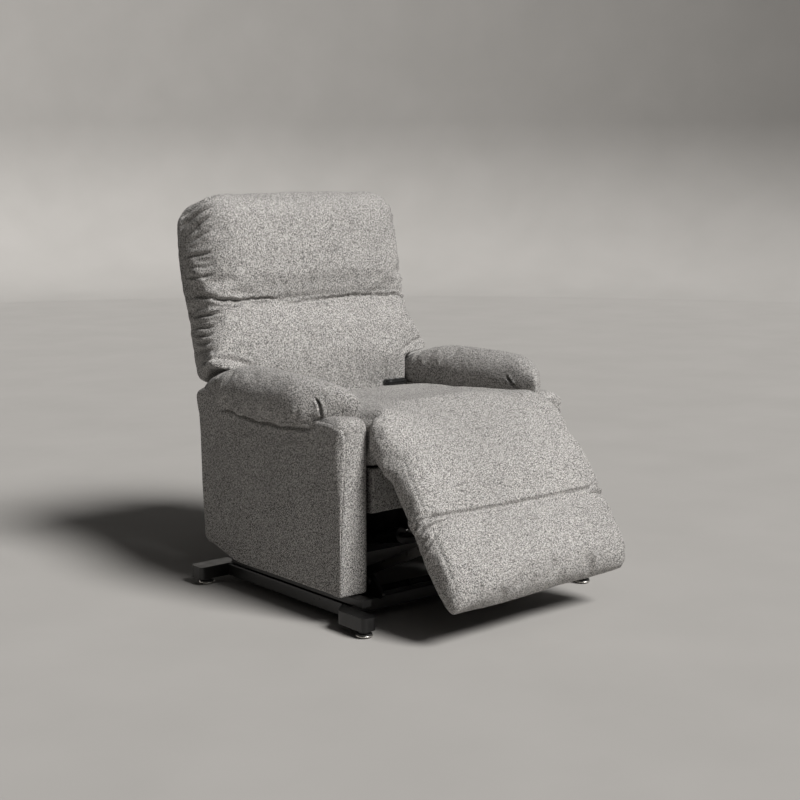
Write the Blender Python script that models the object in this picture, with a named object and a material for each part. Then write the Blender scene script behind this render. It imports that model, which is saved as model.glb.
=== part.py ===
"""Power lift recliner chair with pillow arms, a two-section back and a chaise leg rest.

Shown at rest with the leg rest partly open, the back upright and the lift down. Positions in the
tables are measured from the front faces of the arms (y), the floor (z) and the middle plane (x);
FRONT_Y then moves everything so that the origin is under the middle of the chair.
The sitter faces -Y, so the sitter's left hand is on +X.
"""
import math

import bpy
import bmesh
from mathutils import Matrix, Vector, geometry

# ---------------------------------------------------------------- driving dimensions (metres)
FRONT_Y = -0.2496        # where the arms' front faces stand in the finished frame
GAP = 0.0003             # clearance between pieces that touch

ARM_OUT = 0.404          # outer face of each arm
ARM_IN = 0.304           # inner face of each arm
PANEL = 0.030            # padded outer side panel
INNER = 0.015            # inner arm panel
FRONT_PANEL = 0.028      # padded front panel
BODY_BOTTOM = 0.080      # lower edge of the arms
ARM_TOP = 0.5047         # top of the arm boxes, under the pads

TUBE_LOW, TUBE_HIGH = 0.020, 0.055   # base tubes, above the glides
BASE_IN, BASE_OUT = 0.340, 0.375     # side tubes of the base
BASE_REAR = 0.560

# layers of the mechanism, as distances from the middle plane
PLATE = (0.288, 0.296)       # side plate of the seat box
SWING = (0.276, 0.285)       # lift arm, lift link and back bracket
STAND = (0.262, 0.272)       # stand on the base
LINK_A = (0.245, 0.255)      # rear leg rest link
LINK_B = (0.233, 0.243)      # front leg rest link
BRACKET = (0.221, 0.231)     # leg rest bracket

# pivots of the mechanism, (y, z)
LIFT_ARM_PIVOT = (0.100, 0.078)      # lift arm on the stand
BODY_PIVOT = (0.420, 0.120)          # seat box on the lift arm
LINK_PIVOT = (0.0437, 0.0965)        # lift link on the stand
LINK_EYE = (0.2600, 0.1464)          # its loose eye on the seat box
TORQUE_TUBE = (0.120, 0.036)         # cross tube under the lift arms
CRANK_PIN = (0.100, 0.168)           # where the lift motor pushes
MOTOR_PIVOT = (0.500, 0.080)         # tail of the lift motor
RECLINE_PIVOT = (0.550, 0.360)       # back on the seat box
LEG_POLE = (-0.132, 0.496)           # centre of the leg rest's swing
LEG_LINK_PIVOT = (0.200, 0.345)      # rear leg rest link on the side plate

PIN = 0.0060                 # pivot pin radius
HOLE = 0.0064
HEAD = 0.0110

# leg rest: a board on a line that starts at LEG_START and leans forward by LEG_LEAN
LEG_START = (-0.094, 0.425)
LEG_LEAN = math.radians(35.02)
LEG_HALF = 0.326

# back: its middle plane passes BACK_REF and leans by BACK_LEAN
BACK_REF = (0.710, 0.785)
BACK_LEAN = 0.163

ROUND = 16


# ---------------------------------------------------------------- scene and materials
for old in list(bpy.data.objects):
    bpy.data.objects.remove(old, do_unlink=True)


def material(name, colour, roughness, metallic=0.0):
    mat = bpy.data.materials.new(name)
    mat.use_nodes = True
    shader = mat.node_tree.nodes["Principled BSDF"]
    shader.inputs["Base Color"].default_value = (*colour, 1.0)
    shader.inputs["Roughness"].default_value = roughness
    shader.inputs["Metallic"].default_value = metallic
    mat.diffuse_color = (*colour, 1.0)
    return mat


TWEED = material("grey_tweed", (0.30, 0.29, 0.28), 0.95)
BLACK_STEEL = material("black_steel", (0.018, 0.017, 0.017), 0.42, 0.7)
DARK_METAL = material("mechanism_steel", (0.030, 0.026, 0.024), 0.38, 0.8)
BOARD = material("board", (0.42, 0.30, 0.18), 0.7)
PLASTIC = material("black_plastic", (0.012, 0.012, 0.013), 0.25)
BUTTON = material("button_grey", (0.35, 0.36, 0.38), 0.45)
FOOT = material("glide_plastic", (0.04, 0.04, 0.04), 0.6)


# ---------------------------------------------------------------- shape helpers
def finish(name, bm, mat, origin=(0.0, 0.0, 0.0), smooth=None):
    """Turn bm into the object called name, with its origin at origin."""
    bmesh.ops.remove_doubles(bm, verts=bm.verts, dist=1e-6)
    bmesh.ops.recalc_face_normals(bm, faces=bm.faces)
    mesh = bpy.data.meshes.new(name)
    bm.to_mesh(mesh)
    bm.free()
    mesh.transform(Matrix.Translation(-Vector(origin)))
    mesh.materials.append(mat)
    if smooth is not None:
        mesh.shade_smooth()
        mesh.set_sharp_from_angle(angle=math.radians(smooth))
    obj = bpy.data.objects.new(name, mesh)
    obj.location = Vector(origin) + Vector((0.0, FRONT_Y, 0.0))
    bpy.context.scene.collection.objects.link(obj)
    return obj


def at(pivot, x=0.0):
    return (x, pivot[0], pivot[1])


def prism_x(bm, outline, x0, x1):
    """Extrude a (y, z) outline from x0 to x1."""
    a = [bm.verts.new((x0, y, z)) for y, z in outline]
    b = [bm.verts.new((x1, y, z)) for y, z in outline]
    return skin(bm, [a, b])


def prism_y(bm, outline, y0, y1):
    """Extrude an (x, z) outline from y0 to y1."""
    a = [bm.verts.new((x, y0, z)) for x, z in outline]
    b = [bm.verts.new((x, y1, z)) for x, z in outline]
    return skin(bm, [a, b])


def prism_z(bm, outline, z0, z1):
    """Extrude an (x, y) outline from z0 to z1."""
    a = [bm.verts.new((x, y, z0)) for x, y in outline]
    b = [bm.verts.new((x, y, z1)) for x, y in outline]
    return skin(bm, [a, b])


def skin(bm, rings):
    """Close a stack of rings of vertices into one body."""
    for low, high in zip(rings, rings[1:]):
        n = len(low)
        for i in range(n):
            j = (i + 1) % n
            bm.faces.new((low[i], low[j], high[j], high[i]))
    bm.faces.new(rings[0][::-1])
    bm.faces.new(rings[-1])
    return bm


def circle(centre, radius, count=ROUND):
    return [
        (centre[0] + radius * math.cos(2 * math.pi * i / count),
         centre[1] + radius * math.sin(2 * math.pi * i / count))
        for i in range(count)
    ]


def around(*discs):
    """The outline drawn tight around discs, each (centre, radius)."""
    points = [p for centre, radius in discs for p in circle(centre, radius)]
    return [points[i] for i in geometry.convex_hull_2d(points)]


def rounded(outline, radius, steps=4):
    """Round each corner of an outline, by radius or by one radius per corner."""
    radii = radius if isinstance(radius, (list, tuple)) else [radius] * len(outline)
    out = []
    for i, r in enumerate(radii):
        here = Vector(outline[i])
        back = Vector(outline[i - 1]) - here
        ahead = Vector(outline[(i + 1) % len(outline)]) - here
        if r <= 0:
            out.append(tuple(here))
            continue
        half = back.angle(ahead) / 2
        run = min(r / math.tan(half), 0.49 * back.length, 0.49 * ahead.length)
        r_used = run * math.tan(half)
        mid = here + (back.normalized() + ahead.normalized()).normalized() * (r_used / math.sin(half))
        start = here + back.normalized() * run - mid
        end = here + ahead.normalized() * run - mid
        turn = start.angle_signed(end)
        for k in range(steps + 1):
            p = start.copy()
            p.rotate(Matrix.Rotation(-turn * k / steps, 2))
            out.append(tuple(mid + p))
    return out


def bar(name, low, high, mat, bevel=0.003, origin=(0.0, 0.0, 0.0)):
    """A straight bar with softened edges between two corners."""
    bm = bmesh.new()
    bmesh.ops.create_cube(bm, size=1.0)
    size = Vector(high) - Vector(low)
    bmesh.ops.scale(bm, vec=size, verts=bm.verts)
    bmesh.ops.translate(bm, vec=(Vector(high) + Vector(low)) / 2, verts=bm.verts)
    if bevel:
        bmesh.ops.bevel(bm, geom=list(bm.edges), offset=bevel, segments=2, profile=0.5,
                        affect="EDGES", clamp_overlap=True)
    return finish(name, bm, mat, origin, smooth=40)


def shape(build):
    """A temporary object holding what build(bm) makes, for use in a Boolean."""
    bm = bmesh.new()
    build(bm)
    bmesh.ops.recalc_face_normals(bm, faces=bm.faces)
    mesh = bpy.data.meshes.new("piece")
    bm.to_mesh(mesh)
    bm.free()
    obj = bpy.data.objects.new("piece", mesh)
    bpy.context.scene.collection.objects.link(obj)
    return obj


def combine(name, base, steps, mat, origin=(0.0, 0.0, 0.0)):
    """Join shapes to base ('UNION') and cut others from it ('DIFFERENCE'), in order."""
    work = shape(base)
    helpers = []
    for kind, build in steps:
        tool = shape(build)
        helpers.append(tool)
        mod = work.modifiers.new(kind.lower(), "BOOLEAN")
        mod.operation = kind
        mod.solver = "EXACT"
        mod.object = tool
    bpy.context.view_layer.update()
    depsgraph = bpy.context.evaluated_depsgraph_get()
    bm = bmesh.new()
    bm.from_mesh(work.evaluated_get(depsgraph).to_mesh())
    for obj in [work] + helpers:
        bpy.data.objects.remove(obj, do_unlink=True)
    return finish(name, bm, mat, origin, smooth=40)


def rod_x(centre, radius, x0, x1, count=ROUND):
    """A round rod along X at a (y, z) centre."""
    return lambda bm: prism_x(bm, circle(centre, radius, count), x0, x1)


def pin(side, centre, base_x, end_x, radius=PIN, head=HEAD, head_length=0.004):
    """A pivot pin that points inwards from base_x, with a head at its end."""
    return [
        ("UNION", rod_x(centre, radius, side * base_x, side * (end_x + 0.001))),
        ("UNION", rod_x(centre, head, side * end_x, side * (end_x + head_length))),
    ]


def plate(name, side, layer, outline, mat, origin, steps=()):
    """A flat plate in one layer of the mechanism, with its holes and pins."""
    return combine(name, lambda bm: prism_x(bm, outline, side * layer[0], side * layer[1]),
                   list(steps), mat, origin)


def bore(side, layer, centre, radius=HOLE):
    return ("DIFFERENCE", rod_x(centre, radius, side * (layer[0] - 0.02), side * (layer[1] + 0.02)))


def pillow_x(name, profile, stations, mat, origin=(0.0, 0.0, 0.0)):
    """Run a (y, z) profile along X through stations (x, scale about the profile's middle)."""
    cy = sum(p[0] for p in profile) / len(profile)
    cz = sum(p[1] for p in profile) / len(profile)
    bm = bmesh.new()
    rings = [
        [bm.verts.new((x, cy + (y - cy) * k, cz + (z - cz) * k)) for y, z in profile]
        for x, k in stations
    ]
    skin(bm, rings)
    return finish(name, bm, mat, origin, smooth=50)


def mirrored(stations):
    """Stations from -x to +x, from those on the +x side listed outwards."""
    return [(-x, k) for x, k in reversed(stations)] + list(stations)


def leg(s, n):
    """A point of the leg rest: s down its line, n behind it."""
    return (LEG_START[0] - s * math.sin(LEG_LEAN) + n * math.cos(LEG_LEAN),
            LEG_START[1] - s * math.cos(LEG_LEAN) - n * math.sin(LEG_LEAN))


def back_mid(z):
    return BACK_REF[0] + BACK_LEAN * (z - BACK_REF[1])


# ---------------------------------------------------------------- base
def build_base():
    bar("base_front_tube", (-BASE_IN + GAP, 0.020, TUBE_LOW), (BASE_IN - GAP, 0.055, TUBE_HIGH),
        BLACK_STEEL)
    rear_low = (-BASE_IN + GAP, 0.500, TUBE_LOW)
    bar("base_rear_tube", rear_low, (BASE_IN - GAP, 0.535, TUBE_HIGH), BLACK_STEEL)

    for label, side in (("left", 1), ("right", -1)):
        x_in, x_out = sorted((side * BASE_IN, side * BASE_OUT))
        bar(f"base_rail_{label}", (x_in, 0.0, TUBE_LOW), (x_out, BASE_REAR, TUBE_HIGH), BLACK_STEEL)

        front = [(BASE_OUT + GAP, 0.030), (0.420, -0.010), (0.420, -0.117), (BASE_OUT + 0.001, -0.117)]
        front = rounded(front, [0.002, 0.020, 0.012, 0.014], 5)
        bm = prism_z(bmesh.new(), [(side * x, y) for x, y in front], TUBE_LOW, TUBE_HIGH)
        finish(f"front_foot_{label}", bm, BLACK_STEEL, smooth=40)

        rear = [(BASE_IN, BASE_REAR + GAP), (0.465, BASE_REAR + GAP), (0.465, 0.616), (BASE_IN, 0.616)]
        rear = rounded(rear, [0.003, 0.012, 0.012, 0.003], 4)
        bm = prism_z(bmesh.new(), [(side * x, y) for x, y in rear], TUBE_LOW, TUBE_HIGH)
        finish(f"rear_foot_{label}", bm, BLACK_STEEL, smooth=40)

        for where, x, y, radius in (("front", 0.397, -0.090, 0.020), ("rear", 0.428, 0.590, 0.020)):
            bm = bmesh.new()
            rings = [
                [bm.verts.new((side * x + px, y + py, z)) for px, py in circle((0, 0), r)]
                for z, r in ((0.0, radius - 0.003), (0.003, radius), (0.010, radius),
                             (0.012, radius - 0.005), (TUBE_LOW - GAP, radius - 0.005))
            ]
            finish(f"glide_{where}_{label}", skin(bm, rings), FOOT, smooth=40)

        outline = around((LINK_PIVOT, 0.014), (LIFT_ARM_PIVOT, 0.014), ((0.002, 0.0658), 0.0105),
                         ((0.118, 0.0658), 0.0105))
        plate(f"lift_stand_{label}", side, STAND, outline, BLACK_STEEL, (0, 0, 0),
              [bore(side, STAND, LIFT_ARM_PIVOT), bore(side, STAND, LINK_PIVOT)])

    lug = around((MOTOR_PIVOT, 0.014), ((0.510, 0.0618), 0.0065), ((0.528, 0.0618), 0.0065))
    combine("motor_bracket", lambda bm: prism_x(bm, lug, -0.007, 0.007),
            [("DIFFERENCE", rod_x(MOTOR_PIVOT, HOLE, -0.02, 0.02))], BLACK_STEEL)


# ---------------------------------------------------------------- lift mechanism
def build_lift():
    origin = at(LIFT_ARM_PIVOT)
    for label, side in (("left", 1), ("right", -1)):
        outline = around((LIFT_ARM_PIVOT, 0.0145), (BODY_PIVOT, 0.0145), (TORQUE_TUBE, 0.0155))
        plate(f"lift_arm_{label}", side, SWING, outline, DARK_METAL, origin,
              pin(side, LIFT_ARM_PIVOT, 0.280, 0.2575) + [bore(side, SWING, BODY_PIVOT)])

        outline = around((LINK_PIVOT, 0.012), (LINK_EYE, 0.012))
        plate(f"lift_link_{label}", side, SWING, outline, DARK_METAL, at(LINK_PIVOT),
              pin(side, LINK_PIVOT, 0.280, 0.2575) + [bore(side, SWING, LINK_EYE, 0.0068)])

    # the cross tube carries the crank plate and the pin that the motor pushes
    reach = SWING[0] - GAP
    crank = around((TORQUE_TUBE, 0.020), (CRANK_PIN, 0.013))
    combine("lift_torque_tube", rod_x(TORQUE_TUBE, 0.0125, -reach, reach), [
        ("UNION", lambda bm: prism_x(bm, crank, 0.0095, 0.0195)),
        ("UNION", rod_x(CRANK_PIN, 0.005, -0.011, 0.014)),
        ("UNION", rod_x(CRANK_PIN, 0.010, -0.0118, -0.0078)),
    ], DARK_METAL, origin)

    # lift motor: a tube that tips on its tail, with its rod pushing the crank
    tail = Vector(MOTOR_PIVOT)
    push = (Vector(CRANK_PIN) - tail).normalized()
    pitch = math.atan2(push.y, push.x)
    length = (Vector(CRANK_PIN) - tail).length

    def along(radius, start, end, count=ROUND):
        def build(bm):
            rings = []
            for s in (start, end):
                centre = tail + push * s
                ring = []
                for px, pn in circle((0, 0), radius, count):
                    y = centre.x - math.sin(pitch) * pn
                    z = centre.y + math.cos(pitch) * pn
                    ring.append(bm.verts.new((px, y, z)))
                rings.append(ring)
            skin(bm, rings)
        return build

    ear = around((MOTOR_PIVOT, 0.013), (tuple(tail + push * 0.055), 0.016))
    combine("lift_motor_tube", along(0.022, 0.030, 0.270), [
        ("UNION", lambda bm: prism_x(bm, ear, 0.0095, 0.0185)),
        ("UNION", rod_x(MOTOR_PIVOT, PIN, -0.011, 0.014)),
        ("UNION", rod_x(MOTOR_PIVOT, 0.010, -0.0118, -0.0078)),
        ("DIFFERENCE", along(0.0086, 0.055, 0.300)),
    ], DARK_METAL, at(MOTOR_PIVOT))
    combine("lift_motor_can", rod_x(tuple(tail + push * 0.078), 0.026, -0.130, -0.0224), [],
            BLACK_STEEL, at(MOTOR_PIVOT))
    eye = around((CRANK_PIN, 0.016), (tuple(tail + push * (length - 0.030)), 0.008))
    combine("lift_motor_rod", along(0.0080, 0.060, length - 0.018), [
        ("UNION", lambda bm: prism_x(bm, eye, -0.007, 0.007)),
        ("DIFFERENCE", rod_x(CRANK_PIN, 0.0106, -0.02, 0.02)),
    ], DARK_METAL, at(MOTOR_PIVOT))


# ---------------------------------------------------------------- seat box and arms
def build_body():
    for label, side in (("left", 1), ("right", -1)):
        outline = around(((0.070, 0.300), 0.020), ((0.070, 0.345), 0.020), ((0.110, 0.140), 0.020),
                         (LINK_EYE, 0.030), (BODY_PIVOT, 0.026), ((0.560, 0.200), 0.020),
                         (RECLINE_PIVOT, 0.022))
        steps = pin(side, BODY_PIVOT, 0.292, 0.2705, head_length=0.005)
        steps += pin(side, LINK_EYE, 0.292, 0.2705, radius=0.004, head=0.0105, head_length=0.005)
        steps += pin(side, RECLINE_PIVOT, 0.292, 0.2705, head_length=0.005)
        steps += [("UNION", rod_x(LEG_LINK_PIVOT, 0.010, side * 0.256, side * 0.292))]
        steps += pin(side, LEG_LINK_PIVOT, 0.260, 0.2403)
        plate(f"mechanism_plate_{label}", side, PLATE, outline, DARK_METAL, (0, 0, 0), steps)

        x_in, x_out = sorted((side * 0.340, side * 0.372))
        bar(f"body_rail_{label}", (x_in, -0.050, 0.058), (x_out, 0.540, BODY_BOTTOM - GAP),
            BLACK_STEEL, 0.002)

        # padded outer side panel with its raised rear corner
        y0 = FRONT_PANEL + GAP
        outline = [(y0, BODY_BOTTOM), (0.489, BODY_BOTTOM), (0.634, 0.1185), (0.668, 0.480),
                   (0.660, ARM_TOP), (y0, ARM_TOP)]
        outline = rounded(outline, [0.002, 0.03, 0.02, 0.02, 0.01, 0.002], 3)
        bm = prism_x(bmesh.new(), outline, side * (ARM_OUT - PANEL), side * ARM_OUT)
        finish(f"arm_outer_panel_{label}", bm, TWEED, smooth=40)

        outline = [(y0, 0.140), (0.620, 0.140), (0.655, 0.480), (0.650, ARM_TOP), (y0, ARM_TOP)]
        bm = prism_x(bmesh.new(), outline, side * ARM_IN, side * (ARM_IN + INNER))
        finish(f"arm_inner_panel_{label}", bm, TWEED, smooth=40)

        # front panel: keyhole outline, its rounded top under the nose of the pad
        x_i, x_o = ARM_IN, ARM_OUT
        outline = [(x_i, BODY_BOTTOM), (x_o, BODY_BOTTOM), (x_o, 0.490), (0.397, 0.522),
                   (0.372, 0.535), (0.335, 0.535), (0.308, 0.522), (x_i, 0.500)]
        outline = rounded([(side * x, z) for x, z in outline],
                          [0.004, 0.004, 0.02, 0.01, 0.01, 0.01, 0.01, 0.01], 3)
        bm = prism_y(bmesh.new(), outline, 0.0, FRONT_PANEL)
        bmesh.ops.recalc_face_normals(bm, faces=bm.faces)
        rim = [e for e in bm.edges if all(v.co.y < 1e-6 for v in e.verts)]
        bmesh.ops.bevel(bm, geom=rim, offset=0.006, segments=2, profile=0.5, affect="EDGES")
        finish(f"arm_front_panel_{label}", bm, TWEED, smooth=50)

        x_i, x_o = ARM_IN + INNER + GAP, ARM_OUT - PANEL - GAP
        outline = [(0.602, 0.112), (0.6325, 0.1200), (0.6665, 0.480), (0.6595, 0.500), (0.636, 0.500)]
        bm = prism_x(bmesh.new(), outline, side * x_i, side * x_o)
        finish(f"arm_back_panel_{label}", bm, TWEED, smooth=40)

        build_arm_pad(label, side)

    bm = prism_y(bmesh.new(), rounded([(-0.2875, 0.285), (0.2875, 0.285), (0.2875, 0.3945),
                                       (-0.2875, 0.3945)], 0.004, 2), 0.022, 0.0445)
    finish("front_apron", bm, TWEED, smooth=40)
    bar("rear_cross_rail", (-0.2875, 0.560, 0.180), (0.2875, 0.585, 0.215), BLACK_STEEL)
    bar("seat_deck", (-0.268, 0.046, 0.376), (0.268, 0.545, 0.390), BOARD, 0.002)

    profile = [(-0.088, 0.479), (-0.083, 0.4685), (-0.006, 0.4660), (0.000, 0.4560), (0.000, 0.3955),
               (0.300, 0.3955), (0.552, 0.3955), (0.553, 0.455), (0.548, 0.498), (0.520, 0.5075),
               (0.460, 0.5160), (0.350, 0.5230), (0.150, 0.5240), (0.020, 0.5190), (-0.050, 0.5080), (-0.080, 0.495)]
    pillow_x("seat_cushion", profile, mirrored([(0.120, 1.0), (0.262, 0.99), (0.272, 0.95)]), TWEED)


# an arm pad as rings: y, underside z, top z, inner x, outer x
PAD_RINGS = (
    (0.008, 0.552, 0.566, 0.335, 0.385), (0.014, 0.543, 0.578, 0.316, 0.405),
    (0.031, 0.5385, 0.586, 0.304, 0.419), (0.046, 0.514, 0.591, 0.299, 0.425),
    (0.090, 0.508, 0.604, 0.297, 0.430), (0.160, 0.507, 0.626, 0.297, 0.433),
    (0.270, 0.507, 0.634, 0.297, 0.434), (0.400, 0.507, 0.628, 0.297, 0.432),
    (0.500, 0.507, 0.612, 0.297, 0.430), (0.557, 0.507, 0.583, 0.298, 0.424),
    (0.610, 0.507, 0.562, 0.302, 0.415), (0.645, 0.508, 0.541, 0.310, 0.405),
    (0.658, 0.513, 0.530, 0.325, 0.392),
)


def build_arm_pad(label, side):
    """A pillow roll: flat under, round over, overhanging the outer side."""
    bm = bmesh.new()
    rings = []
    count = 20
    for y, low, high, x_in, x_out in PAD_RINGS:
        cx, cz = (x_in + x_out) / 2, (low + high) / 2
        ring = []
        for k in range(count):
            a = 2 * math.pi * k / count
            c, s = math.cos(a), math.sin(a)
            power = 0.55 if s < 0 else 0.85
            dx = math.copysign(abs(c) ** power, c) * (x_out - x_in) / 2
            dz = math.copysign(abs(s) ** power, s) * (high - low) / 2
            ring.append(bm.verts.new((side * (cx + dx), y, cz + dz)))
        rings.append(ring)
    finish(f"arm_pad_{label}", skin(bm, rings), TWEED, smooth=60)


# ---------------------------------------------------------------- back
def loft_z(name, levels, mat, origin, power=0.5, count=28):
    """Stack super-elliptic rings: each level is (z, half width, front y, rear y)."""
    bm = bmesh.new()
    rings = []
    for z, half, front, rear in levels:
        cy, depth = (front + rear) / 2, (rear - front) / 2
        ring = []
        for k in range(count):
            a = 2 * math.pi * k / count
            c, s = math.cos(a), math.sin(a)
            ring.append(bm.verts.new((math.copysign(abs(c) ** power, c) * half,
                                      cy + math.copysign(abs(s) ** power, s) * depth, z)))
        rings.append(ring)
    return finish(name, skin(bm, rings), mat, origin, smooth=60)


# half widths of the back by height: narrow between the arms, winged above them
LUMBAR = ((0.440, 0.262, 0.060), (0.452, 0.2735, 0.080), (0.520, 0.2755, 0.094), (0.592, 0.2755, 0.108),
          (0.606, 0.285, 0.108), (0.614, 0.400, 0.105), (0.628, 0.415, 0.102), (0.655, 0.408, 0.098),
          (0.695, 0.388, 0.097), (0.735, 0.370, 0.096), (0.770, 0.364, 0.088), (0.784, 0.355, 0.072))
HEAD_REST = ((0.7865, 0.355, 0.072), (0.800, 0.362, 0.088), (0.850, 0.362, 0.098), (0.930, 0.358, 0.100),
             (0.995, 0.350, 0.096), (1.038, 0.335, 0.084), (1.067, 0.300, 0.062), (1.083, 0.245, 0.036))
BACK_SEAM = 0.045        # rear limit of the front cushions, behind the middle plane


def build_back():
    origin = at(RECLINE_PIVOT)
    for name, table in (("lumbar_cushion", LUMBAR), ("head_cushion", HEAD_REST)):
        levels = [(z, half, back_mid(z) - depth, back_mid(z) + BACK_SEAM * min(1.0, depth / 0.08))
                  for z, half, depth in table]
        loft_z(name, levels, TWEED, origin)

    # frame board: narrow where it stands between the arms, wide above them
    shape_xz = [(-0.2755, 0.440), (0.2755, 0.440), (0.2755, 0.620), (0.320, 0.660), (0.320, 0.980),
                (0.280, 1.040), (-0.280, 1.040), (-0.320, 0.980), (-0.320, 0.660), (-0.2755, 0.620)]
    bm = bmesh.new()
    rings = [[bm.verts.new((x, back_mid(z) + off, z)) for x, z in shape_xz] for off in (0.0458, 0.0575)]
    finish("back_board", skin(bm, rings), BOARD, origin)

    rear = [(0.330, 0.262, 0.078), (0.350, 0.272, 0.090), (0.530, 0.274, 0.092), (0.575, 0.330, 0.092),
            (0.610, 0.335, 0.092), (0.700, 0.350, 0.092), (0.800, 0.364, 0.092), (0.920, 0.368, 0.092),
            (1.015, 0.360, 0.090), (1.054, 0.330, 0.080), (1.072, 0.285, 0.070)]
    levels = [(z, half, back_mid(z) + 0.058, back_mid(z) + depth) for z, half, depth in rear]
    loft_z("back_rear_panel", levels, TWEED, origin, power=0.35)

    for label, side in (("left", 1), ("right", -1)):
        low, high = (back_mid(0.490) + 0.034, 0.490), (back_mid(0.580) + 0.034, 0.580)
        outline = around((RECLINE_PIVOT, 0.018), (low, 0.015), (high, 0.015))
        plate(f"back_bracket_{label}", side, SWING, outline, DARK_METAL, origin,
              [bore(side, SWING, RECLINE_PIVOT)])


# ---------------------------------------------------------------- leg rest and its links
def build_leg_rest():
    pole = at(LEG_POLE)
    profile = [leg(s, n) for s, n in (
        (0.002, -0.034), (0.020, -0.044), (0.070, -0.050), (0.140, -0.047), (0.170, -0.042),
        (0.200, -0.048), (0.270, -0.056), (0.330, -0.052), (0.370, -0.038), (0.390, -0.018),
        (0.396, 0.004), (0.388, 0.022), (0.368, 0.0285), (0.150, 0.0285), (0.012, 0.0285),
        (0.002, 0.018))]
    stations = mirrored([(0.150, 1.0), (0.300, 0.99), (0.316, 0.955), (LEG_HALF, 0.88)])
    pillow_x("leg_rest_pad", profile, stations, TWEED, pole)

    outline = [leg(s, n) for s, n in ((0.015, 0.0290), (0.370, 0.0290), (0.370, 0.0455), (0.015, 0.0455))]
    bm = prism_x(bmesh.new(), outline, -0.285, 0.285)
    finish("leg_rest_board", bm, BOARD, pole)

    knee = leg(0.205, 0.063)                       # front link on the leg rest bracket
    elbow = (LEG_LINK_PIVOT[0] + knee[0] - LEG_POLE[0], LEG_LINK_PIVOT[1] + knee[1] - LEG_POLE[1])
    for label, side in (("left", 1), ("right", -1)):
        outline = around((leg(0.105, 0.0518), 0.0059), (leg(0.305, 0.0518), 0.0059), (knee, 0.0135))
        plate(f"leg_bracket_{label}", side, BRACKET, outline, DARK_METAL, pole,
              [bore(side, BRACKET, knee)])
        plate(f"leg_link_rear_{label}", side, LINK_A, around((LEG_LINK_PIVOT, 0.013), (elbow, 0.012)),
              DARK_METAL, at(LEG_LINK_PIVOT),
              [bore(side, LINK_A, LEG_LINK_PIVOT)] + pin(side, elbow, 0.250, 0.2285))
        plate(f"leg_link_front_{label}", side, LINK_B, around((elbow, 0.012), (knee, 0.012)),
              DARK_METAL, at(elbow),
              [bore(side, LINK_B, elbow)] + pin(side, knee, 0.238, 0.2165))


# ---------------------------------------------------------------- hand control
HAND = (0.2120, 0.5250)      # its middle, (x, y)
HAND_LOW, HAND_HIGH = 0.5145, 0.5360
BUTTON_R = 0.0058
BUTTON_X = (0.1970, 0.2210)


def build_hand_control():
    """A small pill-shaped hand control lying at the back of the seat, with two push buttons."""
    def body(bm):
        rings = []
        for z, inset in ((HAND_LOW, 0.006), (HAND_LOW + 0.004, 0.001), (HAND_LOW + 0.009, 0.0),
                         (HAND_HIGH - 0.007, 0.001), (HAND_HIGH - 0.002, 0.005), (HAND_HIGH, 0.008)):
            r = 0.0190 - inset
            outline = around(((HAND[0] - 0.023, HAND[1]), r), ((HAND[0] + 0.023, HAND[1]), r))
            rings.append([bm.verts.new((x, y, z)) for x, y in outline])
        skin(bm, rings)

    def well(x):
        return lambda bm: prism_z(bm, circle((x, HAND[1]), BUTTON_R + 0.0005, 16),
                                  HAND_HIGH - 0.005, HAND_HIGH + 0.01)

    combine("hand_control", body, [("DIFFERENCE", well(x)) for x in BUTTON_X], PLASTIC)
    for name, x in zip(("button_down", "button_up"), BUTTON_X):
        bm = bmesh.new()
        rings = [
            [bm.verts.new((px, py, z)) for px, py in circle((x, HAND[1]), r, 16)]
            for z, r in ((HAND_HIGH - 0.0030, BUTTON_R), (HAND_HIGH + 0.0012, BUTTON_R),
                         (HAND_HIGH + 0.0018, BUTTON_R - 0.0008))
        ]
        finish(name, skin(bm, rings), BUTTON, (x, HAND[1], HAND_HIGH), smooth=40)


build_base()
build_lift()
build_body()
build_back()
build_leg_rest()
build_hand_control()
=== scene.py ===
"""Looks of the power lift recliner chair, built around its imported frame.

The upholstery is made here: a two-section back, a chaise pad that runs from the seat onto the leg
rest, pillow arms and padded panels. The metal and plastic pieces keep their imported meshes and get
their finishes. Tables are in metres, measured from the front faces of the arms (y), the floor (z)
and the middle plane (x); FRONT_Y moves them into the frame.
"""
import math

import bpy
import numpy as np
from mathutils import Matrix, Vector


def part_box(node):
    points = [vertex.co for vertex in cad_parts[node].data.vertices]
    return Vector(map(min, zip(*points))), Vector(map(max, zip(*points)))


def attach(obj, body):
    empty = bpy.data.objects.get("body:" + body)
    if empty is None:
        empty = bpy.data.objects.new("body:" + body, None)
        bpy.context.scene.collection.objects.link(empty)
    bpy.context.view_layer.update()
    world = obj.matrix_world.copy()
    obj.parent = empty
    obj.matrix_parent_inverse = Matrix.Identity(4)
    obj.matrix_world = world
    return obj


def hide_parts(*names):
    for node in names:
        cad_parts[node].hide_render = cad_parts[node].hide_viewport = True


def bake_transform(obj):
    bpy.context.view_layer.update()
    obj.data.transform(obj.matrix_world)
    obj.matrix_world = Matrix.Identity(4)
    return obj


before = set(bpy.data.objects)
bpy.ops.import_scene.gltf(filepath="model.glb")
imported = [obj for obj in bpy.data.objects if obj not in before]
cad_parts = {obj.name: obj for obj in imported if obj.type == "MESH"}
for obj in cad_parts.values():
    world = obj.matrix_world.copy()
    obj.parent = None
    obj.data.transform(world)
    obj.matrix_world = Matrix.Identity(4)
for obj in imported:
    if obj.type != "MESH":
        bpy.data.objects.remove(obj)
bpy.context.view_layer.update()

FRONT_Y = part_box("arm_front_panel_left")[0].y      # the arms' front faces
SIDES = (("left", 1.0), ("right", -1.0))

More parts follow.
